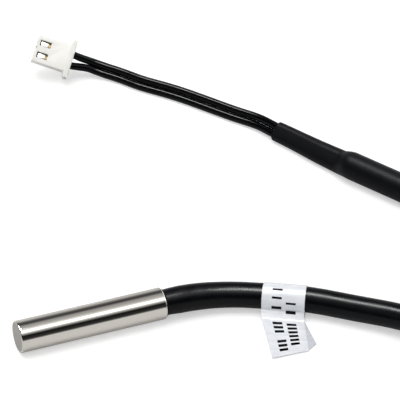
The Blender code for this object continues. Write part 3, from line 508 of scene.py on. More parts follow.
def wire_points(side):
    """A wire's centreline, from the end of the jacket to its contact."""
    jacket_end = Vector(CONNECTOR_RUN[-1])
    covered = [sleeve_station(number)[0] for number in (0, 0.5, 1, 1.5, 2, 2.5, 3, 3.25, 3.5, 3.75)]
    shared = [Vector((x, y, lift + PAIR_LIFT)) for x, y, lift in PAIR_RUN] + covered
    shared.append(jacket_end - (jacket_end - covered[-1]).normalized() * SEAT_GAP)
    behind = CONNECTOR @ Vector((8.3, 0.0, 0.0))
    exits = ((5.94, 0.0), (7.1, 0.0), (8.3, 0.12))
    places = [CONNECTOR @ Vector((x, side * (PITCH / 2 - closer), 0.0)) for x, closer in exits]
    for centre, tangent in zip(shared, tangents([behind] + shared)[1:]):
        places.append(centre + across(tangent) * side * PAIR_OFFSET)
    dense = natural_cubic(places, np.linspace(0, len(places) - 1, 8 * (len(places) - 1) + 1))
    return even_points(dense[::-1], 38)


WIRE_LINES = [wire_points(1.0), wire_points(-1.0)]
print("wire lengths in mm:", [round(line_length(line), 1) for line in WIRE_LINES])

# %% [markdown]
# ## Black plastics
#
# Three black surfaces lie side by side here, and only their gloss tells them apart. The jacket is extruded
# PVC: smooth, with a soft grey highlight. The cores' insulation is harder and shinier. The heat-shrink sleeve
# is polyolefin that was heated until it shrank, which leaves it dull and a little uneven.


# %% Black materials
def shrunk_polyolefin():
    """Shrunk polyolefin: dull, with a grain of about 0.2 mm and slow waves."""
    material, tree, shader = new_material("shrunk_polyolefin")
    fine = grain(tree, 0.22, 4.0)
    tree.links.new(two_tone(tree, fine, "#06070A", "#0A0B10"), shader.inputs["Base Color"])
    tree.links.new(spread(tree, fine, 0.4, 0.5), shader.inputs["Roughness"])
    shader.inputs["Specular IOR Level"].default_value = 0.09
    waves = bump(tree, grain(tree, 1.6), 0.05, bump(tree, fine, 0.012))
    tree.links.new(waves, shader.inputs["Normal"])
    return material


HEAT_SHRINK = shrunk_polyolefin()

# Extruded PVC: semi-gloss, with a faint unevenness a third of a millimetre across.
JACKET_PVC = finish("extruded_pvc_jacket", ("#040508", "#07080C"), (0.24, 0.32), (2.5,), (0.006, 0.35),
                    specular=0.14)

# Harder PVC over the cores: glossy, drawn thin.
CORE_PVC = finish("glossy_core_insulation", ("#040406", "#07080A"), (0.12, 0.2), (1.2,), (0.005, 0.5),
                  specular=0.12)
print("black plastics:", [material.name for material in (HEAT_SHRINK, JACKET_PVC, CORE_PVC)])

# %% [markdown]
# ## The cable and the wires as curves
#
# A cord could be a mesh tube, but a Bezier curve with a round bevel is easier to change: its points are the
# centreline, its bevel depth is the radius, and automatic handles keep it smooth between the points.


# %% Curves for the cords
def add_cord(name, line, radius, material, sides, shares=None):
    """A round cord along a line of points in millimetres. A share scales the radius at its point."""
    curve = bpy.data.curves.new(name, "CURVE")
    curve.dimensions = "3D"
    curve.bevel_depth = radius * MM
    curve.bevel_resolution = sides // 2 - 2
    curve.resolution_u = 6
    curve.render_resolution_u = 6
    curve.use_fill_caps = True
    spline = curve.splines.new("BEZIER")
    spline.bezier_points.add(len(line) - 1)
    for slot, place, share in zip(spline.bezier_points, line, shares or [1.0] * len(line)):
        slot.co = Vector(place) * MM
        slot.radius = share
        slot.handle_left_type = "AUTO"
        slot.handle_right_type = "AUTO"
    curve.materials.append(material)
    cord = new_object(name, curve)
    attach(cord, "root")
    return cord


SWOLLEN = [1.0, 1.0, 0.985, 1.06, 1.045, 1.015] + [1.0] * (len(CABLE_LINE) - 6)
CABLE = add_cord("cable", CABLE_LINE, CABLE_RADIUS, JACKET_PVC, 24, SWOLLEN)
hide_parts("cable_run_probe", "cable_coil", "cable_run_connector")
for number, line in enumerate(WIRE_LINES, 1):
    squeezed = [CORE_RADIUS / WIRE_RADIUS if k < 2 or k > len(line) - 3 else 1.0 for k in range(len(line))]
    wire = add_cord(f"wire_{number}", line, WIRE_RADIUS, CORE_PVC, 32, squeezed)
    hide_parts(f"lead_wire_{number}")

# %% [markdown]
# ## One geometry tree for everything round
#
# The capsule, the ring at its mouth and the heat-shrink sleeve are all skins over a row of cross-sections. A
# lathe (the Screw modifier) would do for the first two, but not for the sleeve, whose section changes from
# an oval to a circle. So one geometry tree serves all three. It takes a row of stations, each with a centre,
# two directions across and its size, lays a grid over them, and moves each grid point to its angle around
# its station.


# %% A helper that runs a geometry tree once and keeps the plain mesh
def new_tree(name, sockets):
    """A geometry tree with one geometry in and out and these named inputs."""
    tree = bpy.data.node_groups.new(name, "GeometryNodeTree")
    tree.interface.new_socket("Geometry", in_out="INPUT", socket_type="NodeSocketGeometry")
    tree.interface.new_socket("Geometry", in_out="OUTPUT", socket_type="NodeSocketGeometry")
    for label, kind in sockets:
        tree.interface.new_socket(label, in_out="INPUT", socket_type=kind)
    return tree, add(tree, "NodeGroupInput").outputs


def end_tree(tree, shape, material):
    """Shade the shape smooth, give it its material and send it out of the tree."""
    smooth = add(tree, "GeometryNodeSetShadeSmooth", {"Geometry": shape}).outputs[0]
    done = add(tree, "GeometryNodeSetMaterial", {"Geometry": smooth, "Material": material})
    add(tree, "NodeGroupOutput", {0: done.outputs[0]})
    return tree


def settle(piece):
    """Replace a piece's mesh by what its modifiers make of it."""
    made = bpy.data.meshes.new_from_object(piece.evaluated_get(bpy.context.evaluated_depsgraph_get()))
    piece.modifiers.clear()
    piece.data = made
    return made


def cover(mesh, material):
    """Give a whole mesh one material."""
    mesh.materials.clear()
    mesh.materials.append(material)
    for face in mesh.polygons:
        face.material_index = 0


def face_out(mesh):
    """Turn a closed mesh the right way round: its signed volume is positive."""
    shape = bmesh.new()
    shape.from_mesh(mesh)
    if shape.calc_volume(signed=True) < 0:
        bmesh.ops.reverse_faces(shape, faces=shape.faces)
    shape.to_mesh(mesh)
    shape.free()


def run_tree(name, tree, mesh, values):
    """Run the tree on a mesh with these inputs and give back the finished mesh, facing outwards."""
    maker = new_object(name, mesh)
    modifier = maker.modifiers.new("grow", "NODES")
    modifier.node_group = tree
    for item in tree.interface.items_tree:
        if item.name in values:
            modifier[item.identifier] = values[item.name]
    grown = settle(maker)
    bpy.data.objects.remove(maker, do_unlink=True)
    grown.name = name
    cover(grown, values["Material"])
    face_out(grown)
    return grown


# %% The tree that lays a skin over stations
def skin_tree():
    """Rings of points over a row of stations, with the seam and the poles merged."""
    tree, given = new_tree("skin_over_stations", [("Sides", "NodeSocketInt"),
                                                  ("Material", "NodeSocketMaterial")])
    count = add(tree, "GeometryNodeAttributeDomainSize", {0: given["Geometry"]}).outputs["Point Count"]
    around = calc(tree, "ADD", given["Sides"], 1.0)
    grid = add(tree, "GeometryNodeMeshGrid", {"Size X": 1.0, "Size Y": 1.0, "Vertices X": around,
                                              "Vertices Y": count}).outputs["Mesh"]
    place = add(tree, "ShaderNodeSeparateXYZ", {0: add(tree, "GeometryNodeInputPosition").outputs[0]}).outputs
    half_step = calc(tree, "DIVIDE", math.pi, given["Sides"])
    angle = calc(tree, "MULTIPLY_ADD", place["X"], 2 * math.pi, half_step)
    last = calc(tree, "SUBTRACT", count, 1.0)
    half_last = calc(tree, "DIVIDE", last, 2.0)
    share = calc(tree, "MULTIPLY_ADD", place["Y"], last, half_last)
    index = calc(tree, "ROUND", share)

    def at_station(value):
        sample = add(tree, "GeometryNodeSampleIndex", {"Geometry": given["Geometry"], "Index": index},
                     data_type="FLOAT_VECTOR", clamp=True)
        tree.links.new(value, sample.inputs["Value"])
        return sample.outputs["Value"]

    centre = at_station(add(tree, "GeometryNodeInputPosition").outputs[0])
    wide, thick, size = (
        at_station(add(tree, "GeometryNodeInputNamedAttribute", {"Name": name},
                       data_type="FLOAT_VECTOR").outputs["Attribute"])
        for name in ("wide", "thick", "size"))
    size = add(tree, "ShaderNodeSeparateXYZ", {0: size}).outputs
    cosine = calc(tree, "COSINE", angle)
    sine = calc(tree, "SINE", angle)
    side = calc(tree, "SIGN", cosine)
    flat = calc(tree, "MULTIPLY", side, size["X"])
    x = calc(tree, "MULTIPLY_ADD", cosine, size["Y"], flat)
    y = calc(tree, "MULTIPLY", sine, size["Y"])
    along_wide = add(tree, "ShaderNodeVectorMath", {0: wide, "Scale": x}, operation="SCALE").outputs[0]
    along_thick = add(tree, "ShaderNodeVectorMath", {0: thick, "Scale": y}, operation="SCALE").outputs[0]
    offset = add(tree, "ShaderNodeVectorMath", {0: along_wide, 1: along_thick}, operation="ADD").outputs[0]
    target = add(tree, "ShaderNodeVectorMath", {0: centre, 1: offset}, operation="ADD").outputs[0]
    moved = add(tree, "GeometryNodeSetPosition", {"Geometry": grid, "Position": target}).outputs[0]
    merged = add(tree, "GeometryNodeMergeByDistance", {"Geometry": moved, "Distance": 0.0005 * MM}).outputs[0]
    return end_tree(tree, merged, given["Material"])


SKIN_TREE = skin_tree()


def add_skin(name, stations, sides, material):
    """A finished piece from stations: (centre, wide, thick, flat, radius), lengths in millimetres."""
    mesh = bpy.data.meshes.new(name)
    mesh.from_pydata([Vector(station[0]) * MM for station in stations],
                     [(k, k + 1) for k in range(len(stations) - 1)], [])
    for label, values in (("wide", [s[1] for s in stations]), ("thick", [s[2] for s in stations]),
                          ("size", [(s[3] * MM, s[4] * MM, 0.0) for s in stations])):
        attribute = mesh.attributes.new(label, "FLOAT_VECTOR", "POINT")
        attribute.data.foreach_set("vector", np.array([tuple(value) for value in values], float).ravel())
    skin = run_tree(name, SKIN_TREE, mesh, {"Sides": sides, "Material": material})
    skin.set_sharp_from_angle(angle=math.radians(35))
    piece = new_object(name, skin)
    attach(piece, "root")
    print(name, "faces:", len(skin.polygons), "materials:", [m.name for m in skin.materials])
    return piece


# %% [markdown]
# ## Stainless steel, twice
#
# The capsule is deep-drawn stainless tube, turned in a polishing wheel: nearly a mirror, with hair-fine
# lines that run round it. Its flat end was only blasted, so it is satin. Both are the same metal. A metal's
# base colour is its mirror colour, a warm light grey here, and its roughness sets how sharp the tent's bands
# look.


# %% Steel
def polished_steel():
    """Polished stainless: warm grey mirror with hair-fine rings about 0.05 mm apart, drawn at 0.12 mm."""
    material, tree, shader = new_material("polished_stainless_steel")
    rings = grain(tree, 0.12, 3.0, stretch=(1.0, 0.06, 0.06))
    cloud = grain(tree, 4.0)
    tree.links.new(two_tone(tree, cloud, "#D6D1CA", "#DCD8D2"), shader.inputs["Base Color"])
    tree.links.new(spread(tree, rings, 0.06, 0.09), shader.inputs["Roughness"])
    tree.links.new(bump(tree, rings, 0.0003), shader.inputs["Normal"])
    shader.inputs["Metallic"].default_value = 1.0
    return material


POLISHED = polished_steel()

# Blasted stainless: the same metal with a fine grain, drawn at 0.1 mm.
SATIN = finish("satin_stainless_steel", ("#9F9C97", "#ABA8A3"), (0.38, 0.46), (0.1, 3.0), (0.002, 0.1, 3.0),
               metallic=1.0)

# Cast silicone: black, dull, slightly cloudy.
SILICONE = finish("cast_black_silicone", ("#030303", "#070707"), (0.5, 0.65), (0.6,), specular=0.1)
print("capsule finishes:", [material.name for material in (POLISHED, SATIN, SILICONE)])

# %% [markdown]
# ## The capsule and the ring at its mouth
#
# The capsule's wall is one closed profile: inner floor, bore, rounded lip, outer wall, and a flat tip with a
# small edge radius. Each point of the profile is a station on the axis. Extra stations just beside each
# rounding keep the shading of the flats clean. The ring is a short closed profile too, and it stands a little
# out of the lip.

# %% The capsule's stations
CAPSULE_LENGTH, CAPSULE_RADIUS, CAPSULE_WALL, END_WALL = 28.2, 3.0, 0.35, 0.5
TIP_EDGE, LIP_EDGE = 0.25, 0.2
SEAL_LENGTH, SEAL_RECESS, SEAL_SWELL, FIT = 0.8, 0.25, 0.35, 0.05


def arc(centre_x, centre_radius, size, start, end, steps):
    """Profile points (x, radius) along an arc, angles from +radius towards +x."""
    angles = np.radians(np.linspace(start, end, steps + 1))
    return [(centre_x + size * math.sin(a), centre_radius + size * math.cos(a)) for a in angles]


def turned(profile):
    """Stations on the capsule's axis for a profile of (distance from the tip, radius)."""
    return [((x - CAPSULE_LENGTH / 2, 0.0, CAPSULE_RADIUS), (0, 1, 0), (0, 0, 1), 0.0, radius)
            for x, radius in profile]


def capsule_profile():
    """The capsule's closed wall, from the axis inside to the axis outside."""
    bore = CAPSULE_RADIUS - CAPSULE_WALL
    profile = [(END_WALL, 0.0), (END_WALL, bore), (CAPSULE_LENGTH - 0.3, bore), (CAPSULE_LENGTH - 0.02, bore)]
    profile += arc(CAPSULE_LENGTH - LIP_EDGE, CAPSULE_RADIUS - LIP_EDGE, LIP_EDGE, 90, 0, 12)
    profile += [(x, CAPSULE_RADIUS) for x in (CAPSULE_LENGTH - 0.5, CAPSULE_LENGTH / 2, 0.6)]
    profile += arc(TIP_EDGE, CAPSULE_RADIUS - TIP_EDGE, TIP_EDGE, 0, -90, 12)
    return profile + [(0.0, CAPSULE_RADIUS - 0.5), (0.0, CAPSULE_RADIUS / 2), (0.0, 0.0)]


CAPSULE = add_skin("capsule", turned(capsule_profile()), 128, POLISHED)
CAPSULE.data.materials.append(SATIN)
for face in CAPSULE.data.polygons:
    if face.center.x < (-CAPSULE_LENGTH / 2 + 0.001) * MM:
        face.material_index = 1
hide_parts("sensor_capsule")

seal_low, seal_high = CAPSULE_LENGTH - SEAL_RECESS - SEAL_LENGTH, CAPSULE_LENGTH + SEAL_SWELL
seal_outer, seal_bore = CAPSULE_RADIUS - CAPSULE_WALL - FIT, CABLE_RADIUS + FIT
SEAL_PROFILE = [(seal_low, seal_outer), (seal_low, seal_bore), (seal_high - 0.05, seal_bore),
                (seal_high, seal_bore + 0.03), (seal_high, seal_outer - 0.03),
                (seal_high - 0.05, seal_outer), (seal_low, seal_outer)]
SEAL = add_skin("seal_ring", turned(SEAL_PROFILE), 96, SILICONE)
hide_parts("mouth_seal")

# %% [markdown]
# ## The heat-shrink sleeve
#
# A length of thin tubing was slipped over the end of the jacket and the start of the wires and heated. Over
# the wires it drew tight to an oval, over the jacket it stayed round, and between the two it makes a short
# step. The stations run down the outside and back up the inside, so the thin wall and its rounded rims come
# along.


# %% The sleeve's stations
def sleeve_stations():
    """Outer stations from the mouth to the cable, then the inner ones back."""
    numbers = np.linspace(0.0, len(SLEEVE_RUN) - 1, 61)
    outside = [sleeve_station(number) for number in numbers]
    centres = [station[0] for station in outside]
    directions = tangents(centres)
    rows = []
    for (centre, flat, radius), tangent in zip(outside, directions):
        wide = across(tangent)
        rows.append((centre, wide, tangent.cross(wide), flat, radius, tangent))
    first, last = rows[0], rows[-1]
    half = SLEEVE_WALL / 2

    def rim(row, out):
        """A half round edge from the outside to the inside of the wall."""
        centre, wide, thick, flat, radius, tangent = row
        steps = [math.radians(a) for a in (90, 60, 30, 0, -30, -60, -90)]
        return [(centre - tangent * out * half * (1 - math.cos(a)), wide, thick, flat,
                 radius - half + half * math.sin(a)) for a in steps]

    outer = rim(first, -1)[::-1]
    body = [row[:5] for row in rows[1:-1]]
    outer_end = rim(last, 1)
    inner = [(c, w, t, flat, radius - SLEEVE_WALL) for c, w, t, flat, radius, _ in rows[1:-1]][::-1]
    loop = outer + body + outer_end + inner
    return loop + [loop[0]]


SLEEVE = add_skin("heat_shrink", sleeve_stations(), 48, HEAT_SHRINK)
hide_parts("heat_shrink_sleeve")

# %% [markdown]
# ## White film and its print
#
# The label is a strip of white plastic film that was wrapped round the cable and stuck to itself. Its print
# is black. On this part it stands for any marking, so it is drawn as plain bars in two columns. Bars follow
# the film wherever it bends, so they are read from a UV map that holds millimetres: U along the strip, V
# across it.

# %% Film with printed bars
BAR_PITCH, BAR_SHARE, BAR_HEIGHT = 1.25, 0.6, 1.85
BACK_SHOWS_FROM = 25.0
ROWS = {2.8: [(1.3, 4.9), (6.7, 10.4), (12.9, 13.7), (15.1, 15.5), (16.7, 17.1)],
        5.45: [(2.6, 9.7), (11.9, 12.6), (14.2, 14.6)]}


def printed_film():
    """Glossy-coated film: white with a cool tint, a soft sheen and bars of black ink."""
    material, tree, shader = new_material("printed_white_film")
    uv = add(tree, "ShaderNodeUVMap", uv_map="film").outputs[0]
    place = add(tree, "ShaderNodeSeparateXYZ", {0: uv}).outputs

    def film_noise(along, across, detail):
        """Noise on the film whose features are this many millimetres long and wide."""
        stretched = add(tree, "ShaderNodeMapping", {"Vector": uv, "Scale": (1 / along, 1 / across, 1.0)})
        return add(tree, "ShaderNodeTexNoise", {"Vector": stretched.outputs[0], "Scale": 1.0,
                                                "Detail": detail}).outputs["Fac"]

    ink = 0.0
    for centre, words in ROWS.items():
        off_centre = calc(tree, "ABSOLUTE", calc(tree, "SUBTRACT", place["Y"], centre))
        in_row = calc(tree, "LESS_THAN", off_centre, BAR_HEIGHT / 2)
        for start, end in words:
            into = calc(tree, "SUBTRACT", place["X"], start)
            begun, ended = calc(tree, "GREATER_THAN", into, 0.0), calc(tree, "LESS_THAN", into, end - start)
            step = calc(tree, "FRACT", calc(tree, "DIVIDE", into, BAR_PITCH))
            bar = calc(tree, "MULTIPLY", calc(tree, "LESS_THAN", step, BAR_SHARE), in_row)
            bar = calc(tree, "MULTIPLY", bar, calc(tree, "MULTIPLY", begun, ended))
            ink = calc(tree, "MAXIMUM", bar, ink)
    face = two_tone(tree, film_noise(2.2, 3.0, 2.0), "#DBDEE4", "#F0F2F5")
    white = two_tone(tree, calc(tree, "GREATER_THAN", place["X"], BACK_SHOWS_FROM), face, "#CCD0D6")
    tree.links.new(two_tone(tree, ink, white, "#0B0B0D"), shader.inputs["Base Color"])
    tree.links.new(spread(tree, ink, 0.34, 0.05, 0.0, 1.0), shader.inputs["Specular IOR Level"])
    tree.links.new(spread(tree, film_noise(1.0, 3.0, 2.0), 0.22, 0.34), shader.inputs["Roughness"])
    creases = bump(tree, film_noise(0.7, 9.0, 3.0), 0.09)
    tree.links.new(bump(tree, film_noise(2.5, 3.5, 1.0), 0.12, creases), shader.inputs["Normal"])
    return material


FILM_WHITE = printed_film()

# %% [markdown]
# ## The label
#
# The strip leaves the flag's end as the upper film, climbs to the cable, goes once round it and comes back
# under the upper film, stuck to it face to face. It is modelled as that one line in the section across the
# cable, swept over its width, and a Solidify modifier gives it thickness. The flag is a little askew, as on
# the real one.

# %% The label's sizes and its line
FILM, FILM_GAP, LABEL_FIT = 0.15, 0.02, 0.08
LABEL_WIDTH = 8.0
BAND_RADIUS = CABLE_RADIUS + LABEL_FIT + FILM / 2
BAND_OUTER = BAND_RADIUS + FILM / 2
FLAG_ROOT, FLAG_LENGTH, CREASE, CREASE_HEIGHT = CABLE_RADIUS + LABEL_FIT + 0.5, 11.4, 0.55, 0.42
BAND_LEAVES_AT = -28
UPPER_FILM_END = ((15.5, -0.25), (12.3, 6.0))
UNDER_FILM_END = ((15.3, 0.0), (12.1, 5.9), (9.9, 7.1))
UNDER_FILM_BEND = 20 / 24
LABEL_FROM, LABEL_TO = Vector(PROBE_RUN[5]), Vector(PROBE_RUN[6])


def label_line():
    """The strip's section as points (towards the viewer, up), from the upper film to the under film."""
    upper = 1.5 * FILM - BAND_OUTER
    under = 0.5 * FILM - BAND_OUTER
    joint = FLAG_ROOT + CREASE
    end = FLAG_ROOT + FLAG_LENGTH
    points = [(x, upper) for x in np.linspace(end, joint + CREASE / 2, 26)]
    points += [(joint, upper + CREASE_HEIGHT * 0.45), (joint - CREASE / 2, upper + CREASE_HEIGHT)]
    angles = np.radians(np.linspace(BAND_LEAVES_AT, 266, 64))
    points += [(BAND_RADIUS * math.cos(a), BAND_RADIUS * math.sin(a)) for a in angles]
    points += [(x, under) for x in np.linspace(0.15, FLAG_ROOT, 8)]
    points += [(x, under) for x in np.linspace(FLAG_ROOT, end, 26)[1:]]
    return points


def label_place():
    """The label's own frame: X towards the viewer, Y up, Z back along the cable."""
    along = (LABEL_TO - LABEL_FROM).normalized()
    towards = Vector((along.y, -along.x, 0.0))
    middle = (LABEL_FROM + LABEL_TO) / 2
    return Matrix(((towards.x, 0, -along.x, middle.x), (towards.y, 0, -along.y, middle.y),
                   (0, 1, 0, middle.z), (0, 0, 0, 1)))


def add_label():
    """The strip as a grid of points, turned in plan past the root of the flag."""
    line = label_line()
    rows = np.linspace(-LABEL_WIDTH / 2, LABEL_WIDTH / 2, 25)
    place = label_place()
    lengths = distances(line)
    mesh = bpy.data.meshes.new("label")
    shape = bmesh.new()
    uv = shape.loops.layers.uv.new("film")
    grid = []
    for number, (x, y) in enumerate(line):
        ring = []
        for row in rows:
            px, py, pz = x, y, -row
            if x > FLAG_ROOT and y < 0.0:
                near, far = UPPER_FILM_END
                side = 0.5 + row / LABEL_WIDTH
                if number > len(line) / 2:
                    near, bend, far = UNDER_FILM_END
                    if side <= UNDER_FILM_BEND:
                        far, side = bend, side / UNDER_FILM_BEND
                    else:
                        near, side = bend, (side - UNDER_FILM_BEND) / (1 - UNDER_FILM_BEND)
                share = (x - FLAG_ROOT) / FLAG_LENGTH
                end_x = near[0] + (far[0] - near[0]) * side
                end_z = near[1] + (far[1] - near[1]) * side
                px = FLAG_ROOT + (end_x - FLAG_ROOT) * share
                pz = pz * (1 - share) - end_z * share
            ring.append(shape.verts.new(place @ Vector((px, py, pz)) * MM))
        grid.append(ring)
    for i in range(len(line) - 1):
        for j in range(len(rows) - 1):
            face = shape.faces.new((grid[i][j], grid[i + 1][j], grid[i + 1][j + 1], grid[i][j + 1]))
            for loop, (a, b) in zip(face.loops, ((i, j), (i + 1, j), (i + 1, j + 1), (i, j + 1))):
                loop[uv].uv = (lengths[a], rows[b] + LABEL_WIDTH / 2)
    shape.to_mesh(mesh)
    shape.free()
    mesh.materials.append(FILM_WHITE)
    mesh.shade_smooth()
    label = new_object("label", mesh)
    thick = label.modifiers.new("film", "SOLIDIFY")
    thick.thickness = (FILM - FILM_GAP) * MM
    thick.offset = 0.0
    made = settle(label)
    face_out(made)
    made.set_sharp_from_angle(angle=math.radians(50))
    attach(label, "root")
    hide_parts("cable_label")
    return label


LABEL = add_label()
print("label strip in mm:", LABEL_WIDTH, "wide; faces:", len(LABEL.data.polygons))

# %% [markdown]
# ## The ties round the coil
#
# Two flat bands keep the coil together. A band is a thin flat section swept round the bundle's outline. The
# geometry tree sweeps one and places a copy at each point that it is given, turned to that point's angle.


# %% The tie tree
# Moulded nylon strap: black, dull.
STRAP = finish("moulded_black_strap", ("#131314", "#1C1C1E"), (0.42, 0.55), (0.3,), (0.02, 0.3))
TIE_WIDTH, TIE_THICKNESS, TOUCH_GAP, TURN_GAP = 4.0, 0.7, 0.3, 0.05
TIE_ANGLES = (20.0, 250.0)


def tie_tree():
    """A flat band round a rounded outline, one at every point that carries an angle."""
    tree, given = new_tree("ties_round_the_coil", [
        ("Half Width", "NodeSocketFloat"), ("Half Height", "NodeSocketFloat"), ("Corner", "NodeSocketFloat"),
        ("Band", "NodeSocketFloat"), ("Thickness", "NodeSocketFloat"), ("Material", "NodeSocketMaterial")])

    def rectangle(sides):
        return add(tree, "GeometryNodeCurvePrimitiveQuadrilateral", sides).outputs[0]

    width = calc(tree, "MULTIPLY", given["Half Width"], 2.0)
    height = calc(tree, "MULTIPLY", given["Half Height"], 2.0)
    outline = rectangle({"Width": width, "Height": height})
    rounded = add(tree, "GeometryNodeFilletCurve", {"Curve": outline, "Radius": given["Corner"], "Count": 10},
                  mode="POLY").outputs[0]
    section = rectangle({"Width": given["Thickness"], "Height": given["Band"]})
    edge = calc(tree, "MULTIPLY", given["Thickness"], 0.3)
    soft = add(tree, "GeometryNodeFilletCurve", {"Curve": section, "Radius": edge, "Count": 4},
               mode="POLY").outputs[0]
    band = add(tree, "GeometryNodeCurveToMesh", {"Curve": rounded, "Profile Curve": soft}).outputs[0]
    turn = add(tree, "GeometryNodeInputNamedAttribute", {"Name": "turn"}, data_type="FLOAT_VECTOR").outputs[0]
    copies = add(tree, "GeometryNodeInstanceOnPoints", {"Points": given["Geometry"], "Instance": band})
    ties = add(tree, "GeometryNodeRotateInstances", {"Instances": copies.outputs[0], "Rotation": turn})
    real = add(tree, "GeometryNodeRealizeInstances", {0: ties.outputs[0]}).outputs[0]
    return end_tree(tree, real, given["Material"])


# %% Two ties
def add_ties():
    """Both ties in one mesh."""
    half_width = CABLE_RADIUS * 3 + TURN_GAP + TOUCH_GAP / 2 + TIE_THICKNESS / 2
    half_height = CABLE_RADIUS * 2 + TURN_GAP / 2 + TOUCH_GAP / 2 + TIE_THICKNESS / 2
    places, turns = [], []
    for degrees in TIE_ANGLES:
        angle = math.radians(degrees)
        places.append(Vector((COIL_X + COIL_MIDDLE * math.cos(angle), COIL_Y + COIL_MIDDLE * math.sin(angle),
                              (LOW + HIGH) / 2)) * MM)
        turns.append((math.radians(90), 0.0, angle))
    mesh = bpy.data.meshes.new("coil_ties")
    mesh.from_pydata(places, [], [])
    turn = mesh.attributes.new("turn", "FLOAT_VECTOR", "POINT")
    turn.data.foreach_set("vector", np.array(turns, float).ravel())
    mesh = run_tree("coil_ties", tie_tree(), mesh, {
        "Half Width": half_width * MM, "Half Height": half_height * MM,
        "Corner": (CABLE_RADIUS + TIE_THICKNESS / 2) * MM, "Band": TIE_WIDTH * MM,
        "Thickness": TIE_THICKNESS * MM, "Material": STRAP})
    mesh.set_sharp_from_angle(angle=math.radians(40))
    ties = new_object("coil_ties", mesh)
    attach(ties, "root")
    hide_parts("coil_tie_1", "coil_tie_2")
    return ties


TIES = add_ties()
print("ties:", len(TIES.data.polygons), "faces, box in mm:", [round(v / MM, 1) for v in TIES.dimensions])

# %% [markdown]
# ## Nylon, brass and tin
#
# The housing is injection-moulded natural nylon, which is milky white. The contacts are stamped from brass
# strip. The springy tongue of each is plated with tin, so it is bright, and the rest shows brown: brass whose
# colour is darkened into painted shade, for the gaps round the tongues that show through the windows.


# %% Materials of the connector
# Natural nylon 66, moulded: milky white with a faint mottle.
NYLON = finish("moulded_natural_nylon", ("#EFEEE8", "#F5F4EF"), (0.46, 0.56), (1.4,), (0.006, 0.3),
               specular=0.25)

# Blanked brass strip: brown-gold, with drawing lines, darkened into painted shade for the gaps round the
# tongues.
BRASS_WITH_PAINTED_SHADE = finish("stamped_brass_with_painted_gap_shade", ("#75664A", "#8E7B57"), (0.4, 0.5), (0.15, 2.0, (1.0, 0.2, 1.0)),
               metallic=1.0)

# Tin plated on the strip: light grey metal, a little dull.
TIN_PLATE = finish("tin_plated_brass", ("#DAD8D3", "#E8E6E2"), (0.22, 0.34), (0.3,), metallic=1.0)
print("connector finishes:", [material.name for material in (NYLON, BRASS_WITH_PAINTED_SHADE, TIN_PLATE)])


# %% [markdown]
# ## The housing
#
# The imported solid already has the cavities, the windows and the two ears. On the real part a low flange runs
# from ear to ear along the rear edge. It is a block that is joined on, and then every edge is rounded a
# little, because a moulded edge is never sharp and it is the rounding that catches the light.


# %% The housing, from its solid with every edge rounded
def merged_copy(node, name):
    """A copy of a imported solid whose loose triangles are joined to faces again."""
    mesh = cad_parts[node].data.copy()
    mesh.name = name
    shape = bmesh.new()
    shape.from_mesh(mesh)
    bmesh.ops.remove_doubles(shape, verts=shape.verts, dist=0.002 * MM)
    bmesh.ops.dissolve_limit(shape, angle_limit=math.radians(1.0), verts=shape.verts, edges=shape.edges)
    shape.to_mesh(mesh)
    shape.free()
    return mesh


def add_block(name, place, first, last):
    """A closed block between two outlines that have the same number of corners, in millimetres."""
    count = len(first)
    mesh = bpy.data.meshes.new(name)
    mesh.from_pydata([place @ Vector(corner) * MM for corner in first + last], [],
                     [tuple(range(count))[::-1], tuple(range(count, 2 * count))]
                     + [(k, (k + 1) % count, (k + 1) % count + count, k + count) for k in range(count)])
    face_out(mesh)
    return new_object(name, mesh)


def soften(piece, width_mm):
    """Round every edge of a piece a little."""
    bevel = piece.modifiers.new("edges", "BEVEL")
    bevel.width = width_mm * MM
    bevel.segments = 2
    bevel.limit_method = "ANGLE"
    bevel.angle_limit = math.radians(40)
    bevel.use_clamp_overlap = True


def join_block(piece, block):
    """Join a block to a piece as one closed mesh."""
    union = piece.modifiers.new("join", "BOOLEAN")
    union.operation = "UNION"
    union.solver = "EXACT"
    union.object = block
    settle(piece)
    bpy.data.objects.remove(block, do_unlink=True)


FLANGE = [(6.95, -2.75), (7.2, -3.97), (7.98, -3.97), (7.98, 3.97), (7.2, 3.97), (6.95, 2.75)]
FLANGE_HEIGHTS = (1.2, 2.34)


def add_housing():
    """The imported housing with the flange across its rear, and small round edges."""
    housing = new_object("housing", merged_copy("connector_housing", "housing"))
    low, high = ([(x, y, height) for x, y in FLANGE] for height in FLANGE_HEIGHTS)
    join_block(housing, add_block("flange", CONNECTOR, low, high))
    soften(housing, 0.06)
    made = settle(housing)
    cover(made, NYLON)
    made.shade_smooth()
    made.set_sharp_from_angle(angle=math.radians(60))
    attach(housing, "root")
    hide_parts("connector_housing")
    return housing


HOUSING = add_housing()
print("housing faces:", len(HOUSING.data.polygons))

# %% [markdown]
# ## The contacts' tongues
#
# Behind each window a springy tongue stands up from the contact and locks it in the housing. Its top is
# plated with tin, and it slopes, so it mirrors the tent's brightest band and looks white, while the brass
# round it stays brown, darkened into painted shade for the gaps round the tongue. A wedge with soft edges is
# joined to the imported contact, and every face above its root gets the tin.

# %% The tongues
TONGUE_ALONG = (0.97, 2.5)
TONGUE_SECTION = ((-0.58, 1.6), (0.38, 1.6), (0.38, 1.79), (-0.58, 2.05))
TONGUE_ROOT = 1.71


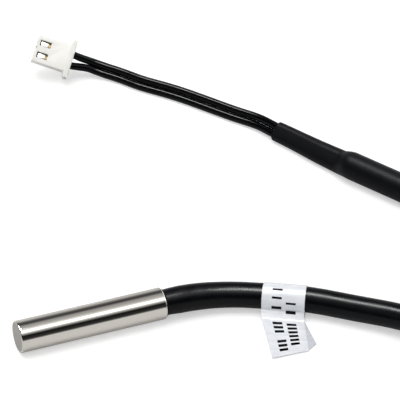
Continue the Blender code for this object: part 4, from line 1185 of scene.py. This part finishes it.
def add_contact(number, side):
    """A packed contact with its tinned tongue, as one closed mesh."""
    place = CONNECTOR @ Matrix.Translation((0.0, side * PITCH / 2, 0.0))
    tongue = add_block("tongue", place, *([(x, y, z) for y, z in TONGUE_SECTION] for x in TONGUE_ALONG))
    soften(tongue, 0.06)
    contact = new_object(f"contact_{number}", merged_copy(f"crimp_contact_{number}", f"contact_{number}"))
    join_block(contact, tongue)
    made = contact.data
    made.materials.clear()
    made.materials.append(BRASS_WITH_PAINTED_SHADE)
    made.materials.append(TIN_PLATE)
    # Faces below the tongue's root keep the brass, darkened into painted shade for the gaps round the tongue.
    back = place.inverted()
    for face in made.polygons:
        face.material_index = int((back @ (face.center / MM)).z > TONGUE_ROOT)
    made.set_sharp_from_angle(angle=math.radians(35))
    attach(contact, "root")
    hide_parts(f"crimp_contact_{number}")
    return contact


CONTACTS = [add_contact(1, 1.0), add_contact(2, -1.0)]
print("contact faces:", [len(contact.data.polygons) for contact in CONTACTS])

# %% [markdown]
# ## What lies inside
#
# The capsule is full of resin that holds the bead, its leads, the splices and the ends of the cores. Nobody
# sees them, but anyone who cuts the part open should find each in its own stuff. They keep their CAD shapes.


# %% Materials for the inner pieces
RESIN = finish("cast_epoxy_resin", ("#3A332C", "#443C33"), (0.2, 0.35), (1.2,))
BEAD = finish("dipped_glass_bead", ("#202125", "#2A2B30"), (0.1, 0.2), (0.8,))
TINNED = finish("tinned_copper", ("#CFCCC6", "#DDDAD4"), (0.22, 0.34), (0.3,), metallic=1.0)
TUBING = finish("extruded_white_tubing", ("#E3E0D2", "#ECE9DD"), (0.38, 0.5), (0.5,))
COPPER = finish("stranded_bare_copper", ("#B5683E", "#CE8257"), (0.28, 0.4), (0.15,), metallic=1.0)
PAIRS = {"thermistor_lead": TINNED, "lead_sleeve": TUBING, "splice_ferrule": TINNED, "splice_sleeve": TUBING,
         "probe_core": CORE_PVC, "probe_conductor": COPPER, "lead_conductor": COPPER}
KEPT = {"potting_fill": RESIN, "thermistor_bead": BEAD}
KEPT.update({f"{name}_{number}": material for name, material in PAIRS.items() for number in (1, 2)})
for name, material in KEPT.items():
    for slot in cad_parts[name].material_slots:
        slot.material = material
print("inner pieces:", len(KEPT))
